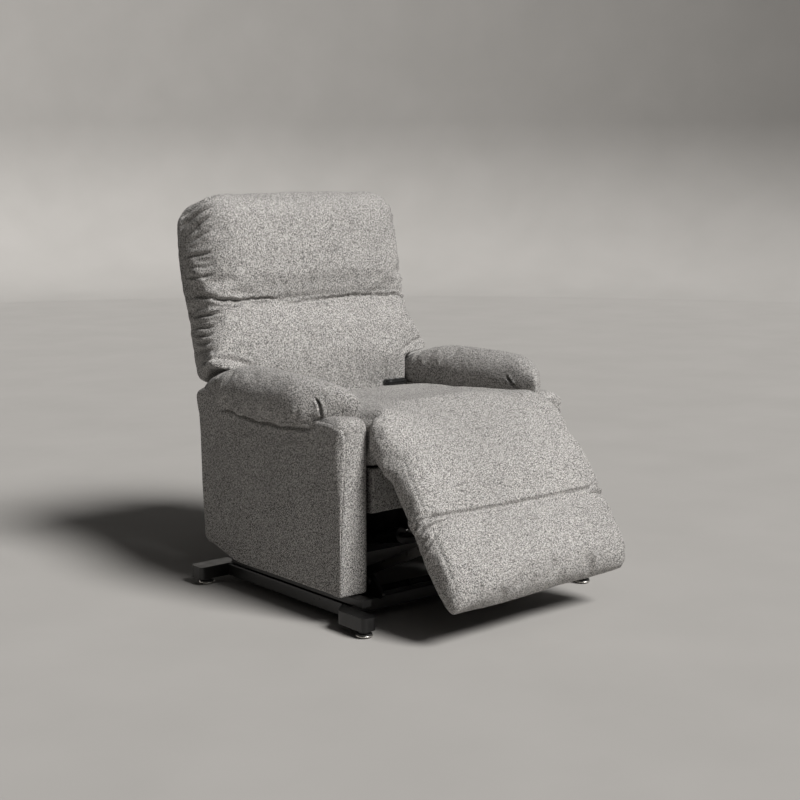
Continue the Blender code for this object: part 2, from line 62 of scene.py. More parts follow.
ARM_OUT, ARM_IN = 0.404, 0.304       # faces of the arms
BODY_BOTTOM = 0.08                   # lower edge of the arms
ARM_RUN = 0.665                      # depth of the arms, front to rear
BACK_REF, BACK_LEAN = (0.71, 0.785), 0.163    # (y, z) on the back's middle plane, its slope
LEG_START = (-0.094, 0.425)          # (y, z) where the leg rest's line begins
LEG_LEAN = math.radians(35.02)       # its angle from upright
BACK_SEAM_Z = 0.785                  # between the lumbar and the head section
LEG_SEAM = 0.17                      # seam of the leg rest, down its line


# ---------------------------------------------------------------- materials
def put(tree, socket, value):
    """Join value to the socket if it is an output, or else set it."""
    if isinstance(value, bpy.types.NodeSocket):
        tree.links.new(value, socket)
    else:
        socket.default_value = value


class Shader:
    """A material, with short ways to add and join its nodes."""

    def __init__(self, name):
        self.mat = bpy.data.materials.new(name)
        self.mat.use_nodes = True
        self.tree = self.mat.node_tree
        self.bsdf = self.tree.nodes["Principled BSDF"]
        self.coords = self.tree.nodes.new("ShaderNodeTexCoord").outputs["Object"]

    def add(self, kind, values=(), **settings):
        node = self.tree.nodes.new(kind)
        for key, value in settings.items():
            setattr(node, key, value)
        for socket, value in dict(values).items():
            put(self.tree, node.inputs[socket], value)
        return node

    def noise(self, scale, detail=2.0, stretch=(1, 1, 1), turn=(0, 0, 0), rough=0.5):
        where = self.add("ShaderNodeMapping", {"Vector": self.coords, "Scale": stretch,
                                               "Rotation": [math.radians(t) for t in turn]})
        return self.add("ShaderNodeTexNoise", {"Vector": where.outputs[0], "Scale": scale,
                                               "Detail": detail, "Roughness": rough}).outputs[0]

    def calc(self, operation, a, b):
        return self.add("ShaderNodeMath", {0: a, 1: b}, operation=operation).outputs[0]

    def ramp(self, factor, stops):
        node = self.add("ShaderNodeValToRGB", {"Fac": factor})
        while len(node.color_ramp.elements) < len(stops):
            node.color_ramp.elements.new(0.5)
        for element, (place, colour) in zip(node.color_ramp.elements, stops):
            element.position = place
            rgb = colour if isinstance(colour, tuple) else (colour, colour, colour)
            element.color = (*rgb, 1.0)
        return node.outputs[0]

    def blend(self, factor, a, b, how="MIX"):
        values = {0: factor, 6: a, 7: b}
        return self.add("ShaderNodeMix", values, data_type="RGBA", blend_type=how).outputs[2]

    def bump(self, height, strength, distance, under=None):
        values = {"Height": height, "Strength": strength, "Distance": distance}
        if under is not None:
            values["Normal"] = under
        return self.add("ShaderNodeBump", values).outputs[0]

    def use(self, **inputs):
        """Set or join the shader's own sockets, named with _ for spaces."""
        for key, value in inputs.items():
            put(self.tree, self.bsdf.inputs[key.replace("_", " ")], value)
        return self.mat


def tweed(name, dark, light, tint):
    """Heathered cloth: dark and pale yarns in flecks a few millimetres long, with a soft nap."""
    s = Shader(name)
    fleck = s.noise(640.0, 1.0, rough=0.55)
    slub = s.noise(520.0, 1.0, stretch=(1.0, 1.0, 0.45), turn=(38, 30, 20))
    cross = s.noise(540.0, 1.0, stretch=(1.0, 0.5, 1.0), turn=(-42, 12, 35))
    yarn = s.calc("ADD", s.calc("MULTIPLY", fleck, 0.42),
                  s.calc("ADD", s.calc("MULTIPLY", slub, 0.33), s.calc("MULTIPLY", cross, 0.25)))
    mid = (dark + light) * 0.4
    colour = s.ramp(yarn, [(0.425, dark * 0.25), (0.47, (dark + mid) / 2), (0.5, mid),
                           (0.535, (mid + light) / 2 * 1.06), (0.575, light)])
    worn = s.ramp(s.noise(5.5, 3.0), [(0.3, 0.9), (0.7, 1.0)])
    colour = s.blend(1.0, colour, worn, "MULTIPLY")
    hue = s.ramp(s.noise(120.0, 1.0), [(0.3, tint), (0.7, tuple((1 + 2 * t) / 3 for t in tint))])
    colour = s.blend(1.0, colour, hue, "MULTIPLY")
    weave = s.bump(yarn, 0.5, 0.0014)
    nap = s.bump(s.noise(900.0, 2.0), 0.25, 0.0006, weave)
    rough = s.ramp(s.noise(60.0, 2.0), [(0.3, 0.84), (0.7, 0.96)])
    return s.use(Base_Color=colour, Roughness=rough, Normal=nap, Sheen_Weight=0.06,
                 Sheen_Roughness=0.5, Specular_IOR_Level=0.15)


def coated_steel(name, colour, rough, brown_reflection=0.0):
    """Black powder coat: fine orange peel, dust that lightens it in patches, satin shine. The
    brownish tint those patches can be given is a painted reflection.
    """
    s = Shader(name)
    dust = s.ramp(s.noise(9.0, 5.0), [(0.4, 0.0), (0.75, 1.0)])
    # colour of the lighter patches: dust, and for the mechanism steel also a brownish tint that is
    # a painted reflection
    dust_and_reflection = (colour * 2.6, colour * (2.5 - brown_reflection), colour * (2.3 - 2 * brown_reflection), 1.0)
    tone = s.blend(dust, (colour, colour, colour, 1.0), dust_and_reflection)
    peel = s.bump(s.noise(700.0, 2.0), 0.16, 0.0006)
    roughness = s.ramp(s.noise(35.0, 4.0), [(0.25, rough - 0.08), (0.75, rough + 0.12)])
    return s.use(Base_Color=tone, Roughness=roughness, Normal=peel, Metallic=0.15,
                 Coat_Weight=0.25, Coat_Roughness=0.3)


def moulded(name, colour, rough, coat):
    """Moulded plastic with a faint grain and finger marks in its shine."""
    s = Shader(name)
    tone = s.ramp(s.noise(18.0, 3.0), [(0.3, colour), (0.7, colour * 1.35)])
    marks = s.ramp(s.noise(55.0, 4.0), [(0.35, rough * 0.75), (0.7, rough * 1.4)])
    grain = s.bump(s.noise(1600.0, 1.0), 0.08, 0.0003)
    return s.use(Base_Color=tone, Roughness=marks, Normal=grain, Coat_Weight=coat,
                 Coat_Roughness=0.08)


def bright_metal(name):
    """Nickel-plated steel with fine turning marks."""
    s = Shader(name)
    marks = s.noise(240.0, 2.0, stretch=(1, 1, 9))
    tone = s.ramp(marks, [(0.3, (0.62, 0.6, 0.56)), (0.7, (0.8, 0.78, 0.74))])
    rough = s.ramp(marks, [(0.3, 0.22), (0.7, 0.4)])
    return s.use(Base_Color=tone, Roughness=rough, Metallic=1.0)


def dust_cover(name):
    """Black non-woven cloth, with the dimples that bond it."""
    s = Shader(name)
    cells = s.add("ShaderNodeTexVoronoi", {"Vector": s.coords, "Scale": 420.0})
    tone = s.ramp(s.noise(260.0, 3.0), [(0.3, 0.01), (0.7, 0.03)])
    dimple = s.bump(cells.outputs["Distance"], 0.5, 0.0008)
    rough = s.ramp(s.noise(40.0, 2.0), [(0.3, 0.8), (0.7, 0.95)])
    return s.use(Base_Color=tone, Roughness=rough, Normal=dimple)


def floor_paint(name):
    """Pale matt studio floor with a faint mottle."""
    s = Shader(name)
    tone = s.ramp(s.noise(2.2, 4.0), [(0.3, (0.4, 0.388, 0.372)), (0.7, (0.425, 0.412, 0.396))])
    rough = s.ramp(s.noise(5.0, 3.0), [(0.3, 0.8), (0.7, 0.92)])
    return s.use(Base_Color=tone, Roughness=rough, Normal=s.bump(s.noise(160.0, 3.0), 0.05, 0.001))


TWEED = tweed("grey_tweed", 0.05, 0.72, (1.0, 0.965, 0.925))
THREAD = tweed("grey_thread", 0.3, 0.62, (1.0, 0.99, 0.97))
STEEL = coated_steel("black_powder_coat", 0.0065, 0.34)
# its lighter patches are tinted brownish: dust and a painted reflection
PLATE = coated_steel("dark_mechanism_steel", 0.008, 0.3, brown_reflection=0.35)
PLASTIC = moulded("black_plastic", 0.01, 0.16, 0.6)
BUTTON = moulded("button_grey", 0.22, 0.4, 0.1)
RUBBER = moulded("glide_plastic", 0.03, 0.55, 0.0)
NICKEL = bright_metal("nickel_plate")
COVER = dust_cover("black_dust_cover")


# ---------------------------------------------------------------- numbers and shapes
def back_mid(z):
    """y of the back's middle plane at height z."""
    return BACK_REF[0] + BACK_LEAN * (np.asarray(z) - BACK_REF[1])


def leg(s, n):
    """(y, z) of a point of the leg rest: s down its line, n behind it."""
    return (LEG_START[0] - s * math.sin(LEG_LEAN) + n * math.cos(LEG_LEAN),
            LEG_START[1] - s * math.cos(LEG_LEAN) - n * math.sin(LEG_LEAN))


def ease(x, low, high):
    """0 below low, 1 above high, smooth between."""
    t = np.clip((np.asarray(x, float) - low) / (high - low), 0, 1)
    return t * t * (3 - 2 * t)


def hump(x, centre, width):
    """1 at centre, falling off as a bell of that width."""
    return np.exp(-((np.asarray(x, float) - centre) / width) ** 2)


def through(x, table):
    """A value read from a table of (place, value) pairs."""
    places, values = zip(*table)
    return np.interp(x, places, values)


def wander(points, size, seed):
    """A smooth random field from -1 to 1 over points, with features about size wide."""
    lattice = np.random.default_rng(seed).uniform(-1, 1, (24, 24, 24))
    q = np.asarray(points) / size + 100.37
    cell = np.floor(q).astype(int)
    f = q - cell
    f = f * f * (3 - 2 * f)
    total = 0.0
    for dx in (0, 1):
        for dy in (0, 1):
            for dz in (0, 1):
                weight = np.prod([f[:, k] if d else 1 - f[:, k]
                                  for k, d in enumerate((dx, dy, dz))], axis=0)
                i, j, k = ((cell + (dx, dy, dz)) % 24).T
                total = total + weight * lattice[i, j, k]
    return total


def lengths(path):
    """How far along a path each of its points is."""
    return np.concatenate([[0], np.cumsum(np.linalg.norm(np.diff(path, axis=0), axis=1))])


def sample(path, run, places):
    """Points of a path at places along it; run is its lengths."""
    return np.stack([np.interp(places, run, c) for c in path.T], 1)


def stations(table, step, soften, measure=2):
    """Rows at an even spacing along a table, by its first columns, with its corners softened."""
    table = np.array(table, float)
    run = lengths(table[:, :measure])
    count = max(3, int(round(run[-1] / step)) + 1)
    step = run[-1] / (count - 1)
    rows = sample(table, run, np.linspace(0, run[-1], count))
    half = min(int(3 * soften / step), count - 2)
    if half < 1:
        return rows
    kernel = np.exp(-0.5 * (np.arange(-half, half + 1) * step / soften) ** 2)
    kernel /= kernel.sum()
    rows = np.vstack([2 * rows[0] - rows[half:0:-1], rows, 2 * rows[-1] - rows[-2:-half - 2:-1]])
    return np.stack([np.convolve(c, kernel, "valid") for c in rows.T], 1)


def round_box(a, b, r, count, r_under=None):
    """Points spaced evenly round rectangles of half sizes a, b and corner radius r, one row each.
    They start at (a, 0), and point k faces point count - k across the b direction. r_under is
    the radius of the corners on the minus b side."""
    quarter = count // 4
    fore, back = slice(0, quarter), slice(quarter, 0, -1)

    def corner(a, b, r):
        a, b, r = (np.asarray(v, float).reshape(-1, 1) for v in np.broadcast_arrays(a, b, r))
        r = np.minimum(r, np.minimum(a, b) * 0.999)
        arc = r * math.pi / 2
        s = (b - r + arc + a - r) * np.linspace(0, 1, quarter + 1)
        angle = np.clip((s - (b - r)) / r, 0, math.pi / 2)
        u = a - r + r * np.cos(angle) - np.clip(s - (b - r) - arc, 0, None)
        return u, np.minimum(s, b - r) + r * np.sin(angle)

    u, v = corner(a, b, r)
    u2, v2 = (u, v) if r_under is None else corner(a, b, r_under)
    return (np.concatenate([u[:, fore], -u[:, back], -u2[:, fore], u2[:, back]], 1),
            np.concatenate([v[:, fore], v[:, back], -v2[:, fore], -v2[:, back]], 1))


def closed_body(points, faces):
    """faces, turned outwards if the body they close is inside out."""
    fans = np.array([(face[0], face[k], face[k + 1])
                     for face in faces for k in range(1, len(face) - 1)])
    p = points[fans]
    volume = np.einsum("ij,ij->i", p[:, 0], np.cross(p[:, 1], p[:, 2])).sum()
    return faces if volume > 0 else [face[::-1] for face in faces]


def loft_faces(rows, count):
    """Faces between rings of count points, and a cap at each end."""
    faces = []
    for i in range(rows - 1):
        a, b = i * count, (i + 1) * count
        for k in range(count):
            n = (k + 1) % count
            faces.append((a + k, a + n, b + n, b + k))
    for base in (0, (rows - 1) * count):
        for k in range(count // 2):
            corners = [base + k, base + k + 1, base + count - k - 1, base + (count - k) % count]
            cap = tuple(dict.fromkeys(corners))
            faces.append(cap[::-1] if base == 0 else cap)
    return faces


def make(name, points, faces, mat=TWEED, check=True):
    """A smooth mesh object from points in the tables' frame."""
    points = np.asarray(points, float).reshape(-1, 3)
    if check:
        faces = closed_body(points, faces)
    mesh = bpy.data.meshes.new(name)
    mesh.from_pydata((points + (0, FRONT_Y, 0)).tolist(), [], faces)
    mesh.materials.append(mat)
    mesh.shade_smooth()
    obj = bpy.data.objects.new(name, mesh)
    bpy.context.scene.collection.objects.link(obj)
    return obj


def loft(name, rings):
    """A closed body through rings, an array of (stations, points, 3)."""
    rows, count = rings.shape[:2]
    return make(name, rings, loft_faces(rows, count))


def read(obj):
    """The points of a mesh in the tables' frame, and its normals."""
    count = len(obj.data.vertices)
    points, normals = np.empty(count * 3), np.empty(count * 3)
    obj.data.vertices.foreach_get("co", points)
    obj.data.vertices.foreach_get("normal", normals)
    return points.reshape(-1, 3) - (0, FRONT_Y, 0), normals.reshape(-1, 3)


def write(obj, points):
    """Move a mesh's points, given in the tables' frame."""
    obj.data.vertices.foreach_set("co", (points + (0, FRONT_Y, 0)).ravel())
    obj.data.update()


def settle(obj):
    """Apply obj's modifiers to its mesh."""
    bpy.context.view_layer.update()
    done = bpy.data.meshes.new_from_object(obj.evaluated_get(bpy.context.evaluated_depsgraph_get()))
    obj.modifiers.clear()
    obj.data = done
    done.shade_smooth()


def subdivide(obj):
    """Smooth a mesh by one subdivision."""
    obj.modifiers.new("subdivision", "SUBSURF").levels = 1
    obj.modifiers["subdivision"].render_levels = 1
    settle(obj)


def swell(obj, held, cap, pressure=4.0, slack=0.0, frames=20):
    """Blow cloth up over the padding: held is 1 where it is sewn down, cap is how far it may go."""
    before, _ = read(obj)
    group = obj.vertex_groups.new(name="held")
    for i in np.flatnonzero(held > 0.01):
        group.add([int(i)], float(held[i]), "REPLACE")
    cloth = obj.modifiers.new("cloth", "CLOTH")
    cloth.settings.quality = 5
    cloth.settings.mass = 0.3
    cloth.settings.tension_stiffness = cloth.settings.compression_stiffness = 18.0
    cloth.settings.shear_stiffness = 8.0
    cloth.settings.bending_stiffness = 1.2
    cloth.settings.use_pressure = True
    cloth.settings.uniform_pressure_force = pressure
    cloth.settings.shrink_min = -slack
    cloth.settings.vertex_group_mass = "held"
    cloth.settings.effector_weights.gravity = 0.0
    cloth.point_cache.frame_start, cloth.point_cache.frame_end = 1, frames
    for number in range(1, frames + 1):
        bpy.context.scene.frame_set(number)
    settle(obj)
    obj.vertex_groups.clear()
    after, _ = read(obj)
    move = after - before
    far = np.linalg.norm(move, axis=1, keepdims=True)
    write(obj, before + move * np.minimum(1.0, cap / np.maximum(far, 1e-9)))
    bpy.context.scene.frame_set(1)


def dense(path, gap):
    """A path with points about gap apart."""
    path = np.array(path, float)
    run = lengths(path)
    return sample(path, run, np.linspace(0, run[-1], max(3, int(run[-1] / gap) + 2)))


def onto(points, normals, path, reach=0.04):
    """A path moved along the surface's normals onto the surface."""
    box = ((points > path.min(0) - reach) & (points < path.max(0) + reach)).all(1)
    cloud, up = points[box], normals[box]
    if not len(cloud):
        return path
    near = np.array([np.argmin(((cloud - p) ** 2).sum(1)) for p in path])
    off = ((path - cloud[near]) * up[near]).sum(1, keepdims=True)
    return path - off * up[near]


def fold(points, normals, path, depth, width, ridge=0.35, fade=0.25):
    """How far each point moves outwards for a fold along a path: in at the path, a little out
    beside it, and fading over the last part of each end."""
    path = onto(points, normals, dense(path, width * 0.6))
    reach = 4 * width
    near = np.flatnonzero(((points > path.min(0) - reach) & (points < path.max(0) + reach)).all(1))
    out = np.zeros(len(points))
    for block in np.array_split(near, max(1, len(near) * len(path) // 4000000)):
        if not len(block):
            continue
        gaps = np.linalg.norm(points[block][:, None] - path[None], axis=2)
        d, along = gaps.min(1), gaps.argmin(1) / (len(path) - 1)
        taper = ease(np.minimum(along, 1 - along), 0, fade) if fade else 1.0
        out[block] = taper * depth * (ridge * hump(d, 2.1 * width, 1.3 * width) - hump(d, 0, width))
    return out


def hoop(name, path, radius, mat, sides=8):
    """A round cord along a closed path."""
    path = np.array(path, float)
    ahead = np.roll(path, -1, 0) - np.roll(path, 1, 0)
    ahead /= np.linalg.norm(ahead, axis=1, keepdims=True)
    side = np.cross(ahead, [0.123, 0.456, 0.881])
    side /= np.linalg.norm(side, axis=1, keepdims=True)
    up = np.cross(ahead, side)
    turn = np.linspace(0, 2 * math.pi, sides, endpoint=False)
    rings = (path[:, None] + radius * (np.cos(turn)[:, None] * side[:, None]
                                       + np.sin(turn)[:, None] * up[:, None]))
    last = (len(path) - 1) * sides
    faces = loft_faces(len(path), sides)[:last]
    faces += [(last + k, last + (k + 1) % sides, (k + 1) % sides, k) for k in range(sides)]
    return make(name, rings, faces, mat)


def stitches(name, paths, length=0.0052, gap=0.0026, radius=0.00055, sides=5):
    """Rows of thread stitches, each a short piece of cord that narrows at both ends."""
    points, faces = [], []
    for path in paths:
        path = np.array(path, float)
        run = lengths(path)
        for start in np.arange(0, run[-1] - length, length + gap):
            line = sample(path, run, start + length * np.linspace(0, 1, 4))
            ahead = line[-1] - line[0]
            ahead = ahead / np.linalg.norm(ahead)
            side = np.cross(ahead, [0.31, 0.47, 0.83])
            side /= np.linalg.norm(side)
            up = np.cross(ahead, side)
            base = len(points)
            for i, scale in enumerate((0.45, 1.0, 1.0, 0.45)):
                for k in range(sides):
                    a = 2 * math.pi * k / sides
                    out = math.cos(a) * side + math.sin(a) * up
                    points.append(line[i] + radius * scale * out)
            for i in range(3):
                for k in range(sides):
                    n, a, b = (k + 1) % sides, base + i * sides, base + (i + 1) * sides
                    faces.append((a + n, a + k, b + k, b + n))
            faces.append(tuple(base + k for k in range(sides)))
            faces.append(tuple(base + 3 * sides + k for k in reversed(range(sides))))
    return make(name, points, faces, THREAD, check=False)


def rounded_edge(d, r):
    """How far a surface falls back at distance d from an edge rounded by r."""
    return r - np.sqrt(np.maximum(r * r - (r - np.minimum(d, r)) ** 2, 0))


def spread(count, crowd=0.55):
    """0 to 1 in count steps, closer together near both ends."""
    t = np.linspace(0, 1, count)
    return (1 - crowd) * t + crowd * (0.5 - 0.5 * np.cos(math.pi * t))


def slab(name, front, rear, shape, mat=TWEED):
    """A padded panel between two sheets, each front or rear(s, t) giving points, of one grid."""
    rows, cols = shape
    s, t = np.meshgrid(spread(rows), spread(cols), indexing="ij")
    points = np.concatenate([front(s, t).reshape(-1, 3), rear(s, t).reshape(-1, 3)])
    number = np.arange(rows * cols).reshape(rows, cols)
    faces = []
    for sheet, flip in ((number, False), (number + rows * cols, True)):
        for i in range(rows - 1):
            for j in range(cols - 1):
                face = (sheet[i, j], sheet[i + 1, j], sheet[i + 1, j + 1], sheet[i, j + 1])
                faces.append(face[::-1] if flip else face)
    rim = (list(number[:, 0]) + list(number[-1, 1:]) + list(number[-2::-1, -1])
           + list(number[0, -2:0:-1]))
    for a, b in zip(rim, rim[1:] + rim[:1]):
        faces.append((b, a, a + rows * cols, b + rows * cols))
    faces = [tuple(int(i) for i in face) for face in faces]
    return make(name, points, faces, mat)


def flat(face, axis, value):
    """The inner sheet of a panel: face pressed flat at value along axis."""
    def sheet(s, t):
        points = face(s, t)
        points[..., axis] = value
        return points
    return sheet


# ---------------------------------------------------------------- back
# height, half width at the front, half width at the rear, depth in front, corner radius
BACK_TABLE = [
    (0.44, 0.27, 0.255, 0.045, 0.012), (0.45, 0.294, 0.27, 0.08, 0.016),
    (0.5, 0.297, 0.272, 0.093, 0.017), (0.53, 0.297, 0.272, 0.101, 0.018),
    (0.56, 0.297, 0.272, 0.109, 0.02), (0.592, 0.2975, 0.276, 0.115, 0.024),
    (0.602, 0.312, 0.29, 0.116, 0.028), (0.607, 0.36, 0.32, 0.115, 0.036),
    (0.612, 0.402, 0.336, 0.113, 0.048), (0.626, 0.418, 0.34, 0.109, 0.06),
    (0.652, 0.412, 0.346, 0.103, 0.064), (0.682, 0.398, 0.351, 0.1, 0.066),
    (0.71, 0.383, 0.356, 0.097, 0.068), (0.742, 0.37, 0.361, 0.092, 0.072),
    (0.77, 0.364, 0.365, 0.083, 0.07), (0.785, 0.361, 0.367, 0.074, 0.066),
    (0.802, 0.364, 0.368, 0.086, 0.076), (0.83, 0.365, 0.37, 0.094, 0.082),
    (0.88, 0.362, 0.371, 0.098, 0.082), (0.93, 0.359, 0.37, 0.098, 0.082),
    (0.975, 0.355, 0.368, 0.094, 0.078), (1.01, 0.351, 0.364, 0.087, 0.07),
    (1.035, 0.343, 0.356, 0.078, 0.06), (1.055, 0.33, 0.343, 0.063, 0.045),
    (1.071, 0.31, 0.32, 0.045, 0.03), (1.08, 0.284, 0.29, 0.028, 0.018),
    (1.084, 0.25, 0.254, 0.014, 0.008)]
BACK_REAR = 0.08                     # depth behind the middle plane
# folds of the back's boxing: (half width, height, distance in front of the middle plane) along
# each, then its depth, width and fade. Corner folds at the top come first.
BOXING_FOLDS = [
    ([(0.29, 1.08, 0.035), (0.325, 1.07, 0.02), (0.352, 1.044, -0.02),
      (0.362, 1.018, -0.05)], 0.0115, 0.0052, 0.25),
    ([(0.315, 1.066, 0.07), (0.348, 1.048, 0.04), (0.362, 1.012, -0.015),
      (0.368, 0.985, -0.055)], 0.0125, 0.0054, 0.25),
    ([(0.335, 1.04, 0.082), (0.356, 1.018, 0.05), (0.366, 0.982, 0.0),
      (0.37, 0.955, -0.05)], 0.012, 0.005, 0.25),
    ([(0.345, 1.0, 0.085), (0.362, 0.978, 0.045), (0.37, 0.95, -0.01)], 0.008, 0.005, 0.3),
    ([(0.345, 0.935, 0.085), (0.363, 0.925, 0.045), (0.37, 0.912, -0.04)], 0.0085, 0.0046, 0.3),
    ([(0.345, 0.9, 0.085), (0.364, 0.892, 0.045), (0.37, 0.884, -0.02)], 0.005, 0.004, 0.3),
    ([(0.345, 0.868, 0.085), (0.365, 0.862, 0.045), (0.37, 0.855, -0.045)], 0.007, 0.0042, 0.3),
    ([(0.32, 0.808, 0.085), (0.362, 0.812, 0.05), (0.368, 0.818, -0.04)], 0.0085, 0.0044, 0.3),
    ([(0.32, 0.768, 0.085), (0.362, 0.757, 0.05), (0.366, 0.742, -0.04)], 0.011, 0.0048, 0.25),
    ([(0.355, 0.735, 0.08), (0.374, 0.722, 0.045), (0.368, 0.71, -0.04)], 0.0075, 0.004, 0.3),
    ([(0.366, 0.712, 0.08), (0.386, 0.7, 0.045), (0.372, 0.69, -0.04)], 0.007, 0.004, 0.3),
    ([(0.376, 0.69, 0.08), (0.396, 0.678, 0.045), (0.374, 0.668, -0.04)], 0.0085, 0.004, 0.3),
    ([(0.38, 0.665, 0.08), (0.404, 0.655, 0.045), (0.374, 0.645, -0.04)], 0.008, 0.004, 0.3),
    ([(0.37, 0.64, 0.09), (0.402, 0.632, 0.06), (0.384, 0.618, 0.0)], 0.008, 0.0046, 0.3),
    ([(0.265, 0.598, 0.115), (0.29, 0.618, 0.112), (0.34, 0.632, 0.1),
      (0.39, 0.628, 0.08)], 0.0095, 0.0058, 0.3)]


def back_cushion():
    """The lumbar and head sections, one stuffed cover with a seam across it."""
    rows = stations(BACK_TABLE, 0.0085, 0.006)
    z, half, half_rear, deep, corner = rows.T
    rear = np.minimum(BACK_REAR, deep * 0.9)
    u, v = round_box(half, (deep + rear) / 2, corner, 240, np.minimum(0.022, corner))
    behind = 0.5 - v / (deep + rear)[:, None]
    y = back_mid(z)[:, None] - (deep - rear)[:, None] / 2 - v
    x = u * (1 + (half_rear / half - 1)[:, None] * behind)
    crown = 0.012 * np.clip(1 - (u / half[:, None]) ** 2, 0, 1) * np.clip(v * 25, 0, 1)
    crown *= (ease(z, 0.46, 0.7) * ease(-z, -1.08, -1.02))[:, None]
    height = np.broadcast_to(z[:, None], u.shape).copy()
    height += (0.009 + 0.008 * (1 - (u / 0.3) ** 2)) * ease(z, 0.98, 1.08)[:, None]
    # the top slopes down to the rear, and behind the arm pads the wings hang lower
    height -= 0.02 * np.clip(behind, 0, 1) ** 1.4 * ease(z, 0.97, 1.08)[:, None]
    height -= (0.052 * ease(y, 0.605, 0.68) * ease(-z, -0.7, -0.615)[:, None]
               * ease(np.abs(x), 0.298, 0.325))
    cushion = loft("back_cushion", np.stack([x, y - crown, height], 2))

    p, n = read(cushion)
    sewn = np.maximum(hump(p[:, 2], BACK_SEAM_Z, 0.012), p[:, 1] > back_mid(p[:, 2]) + 0.045)
    low = 0.5 + 0.105 * ease(np.abs(p[:, 0]), 0.255, 0.29)
    sewn = np.maximum(sewn, 1 - ease(p[:, 2], low, low + 0.045))
    write(cushion, p - n * 0.004 * (1 - sewn)[:, None])
    swell(cushion, sewn, 0.013, slack=0.015)
    subdivide(cushion)

    p, n = read(cushion)
    mid = back_mid(p[:, 2])
    side = ease(np.abs(p[:, 0]) + 0.4 * (p[:, 1] - mid), 0.315, 0.35) * (p[:, 2] > 0.57)
    move = 0.0022 * wander(p, 0.11, 3) + 0.001 * wander(p, 0.045, 4)
    # ruched boxing on both sides
    ruche = wander(p * (0.35, 0.35, 1.0) + (0.04 * np.sign(p[:, 0]))[:, None], 0.016, 7)
    ruche = ruche * (0.5 + 0.5 * hump(p[:, 2], 0.72, 0.07) + 0.4 * hump(p[:, 2], 0.8, 0.04))
    move += 0.0034 * ruche * side

    def face(x, z, forward=0.11):
        return (x, float(back_mid(z)) - forward, z)

    folds = []
    # the seam across: a deep pleat at one end, a break a third of the way over, and on again
    folds.append(([face(-0.37, 0.806, -0.02), face(-0.364, 0.803, 0.04), face(-0.352, 0.8, 0.07),
                   face(-0.31, 0.796), face(-0.27, 0.793)], 0.013, 0.0048, 0.1))
    folds.append(([face(-0.3, 0.795), face(-0.2, 0.791), face(-0.15, 0.789)], 0.008, 0.0034, 0.1))
    folds.append(([face(-0.155, 0.781), face(-0.1, 0.783), face(0.0, 0.786), face(0.15, 0.787),
                   face(0.3, 0.786), face(0.37, 0.786), face(0.395, 0.785, 0.06),
                   face(0.41, 0.785, 0.0)], 0.0085, 0.0036, 0.05))
    folds.append(([face(0.22, 0.787), face(0.27, 0.787), face(0.33, 0.786)], 0.005, 0.0034, 0.3))
    for sign in (-1, 1):
        folds += [([(sign * x, float(back_mid(z)) - forward, z) for x, z, forward in path], *rest)
                  for path, *rest in BOXING_FOLDS]
    # dart at the lumbar's lower corner, by the hand control
    folds.append(([face(0.205, 0.605), face(0.207, 0.56), face(0.21, 0.525)], 0.0042, 0.0034, 0.3))
    for path, depth, width, fade in folds:
        move += fold(p, n, path, depth, width, fade=fade)
    # soft roll of the head section over the seam
    front = p[:, 1] < mid - 0.04
    move += front * (0.0045 * hump(p[:, 2], 0.808, 0.018) + 0.003 * hump(p[:, 2], 0.765, 0.016))
    taller = 0.009 * ease(p[:, 2], 0.9, 1.08)
    write(cushion, p + n * move[:, None] + taller[:, None] * (0.0, 0.0, 1.0))
    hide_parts("lumbar_cushion", "head_cushion")
    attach(cushion, "backrest")


def back_shell():
    """The outside back: a thin padded shell with a welt where it meets the boxing."""
    # height, half width, depth behind the middle plane
    table = [(0.33, 0.262, 0.076), (0.336, 0.27, 0.086), (0.4, 0.273, 0.0915),
             (0.528, 0.275, 0.093), (0.545, 0.295, 0.093), (0.556, 0.322, 0.0925),
             (0.572, 0.333, 0.0925), (0.61, 0.337, 0.093), (0.67, 0.348, 0.0935),
             (0.725, 0.358, 0.0945), (0.786, 0.3665, 0.095), (0.907, 0.371, 0.0955),
             (0.98, 0.369, 0.0945), (1.018, 0.36, 0.092), (1.045, 0.34, 0.086),
             (1.06, 0.31, 0.078), (1.066, 0.28, 0.069)]
    rows = stations(table, 0.0095, 0.007)
    z, half, rear = rows.T
    near = np.where(z < 0.57, 0.043, 0.068)
    half = half - 0.016 * ease(z, 0.55, 0.6)
    u, v = round_box(half, np.maximum(rear - near, 0.006) / 2, 0.01, 176)
    y = back_mid(z)[:, None] + (rear + near)[:, None] / 2 + v
    crown = 0.006 * np.clip(1 - (u / half[:, None]) ** 2, 0, 1) * np.clip(v * 40, 0, 1)
    crown *= (ease(z, 0.34, 0.46) * ease(-z, -1.06, -0.98))[:, None]
    shell = loft("outside_back", np.stack([u, y + crown, np.broadcast_to(z[:, None], u.shape)], 2))
    subdivide(shell)
    p, n = read(shell)
    outer = p[:, 1] > back_mid(p[:, 2]) + 0.07
    move = 0.0016 * wander(p, 0.13, 21) + 0.0006 * wander(p, 0.04, 22)
    border = [(sx * (w - 0.026), float(back_mid(h)) + 0.1, h)
              for sx, part in ((1, rows), (-1, rows[::-1])) for h, w, _ in part if 0.37 < h < 1.035]
    move += fold(p, n, border, 0.0028, 0.0032, ridge=0.5, fade=0.0) * outer
    hem = [(x, float(back_mid(0.362)) + 0.1, 0.362) for x in (-0.26, 0.0, 0.26)]
    move += fold(p, n, hem, 0.0025, 0.003, ridge=0.5, fade=0.02) * outer
    write(shell, p + n * move[:, None])
    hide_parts("back_rear_panel")
    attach(shell, "backrest")

    p, n = read(shell)
    line = onto(p, n, dense(np.array(border), 0.004)) + (0, 0.0006, 0)
    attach(stitches("outside_back_stitches", [line]), "backrest")


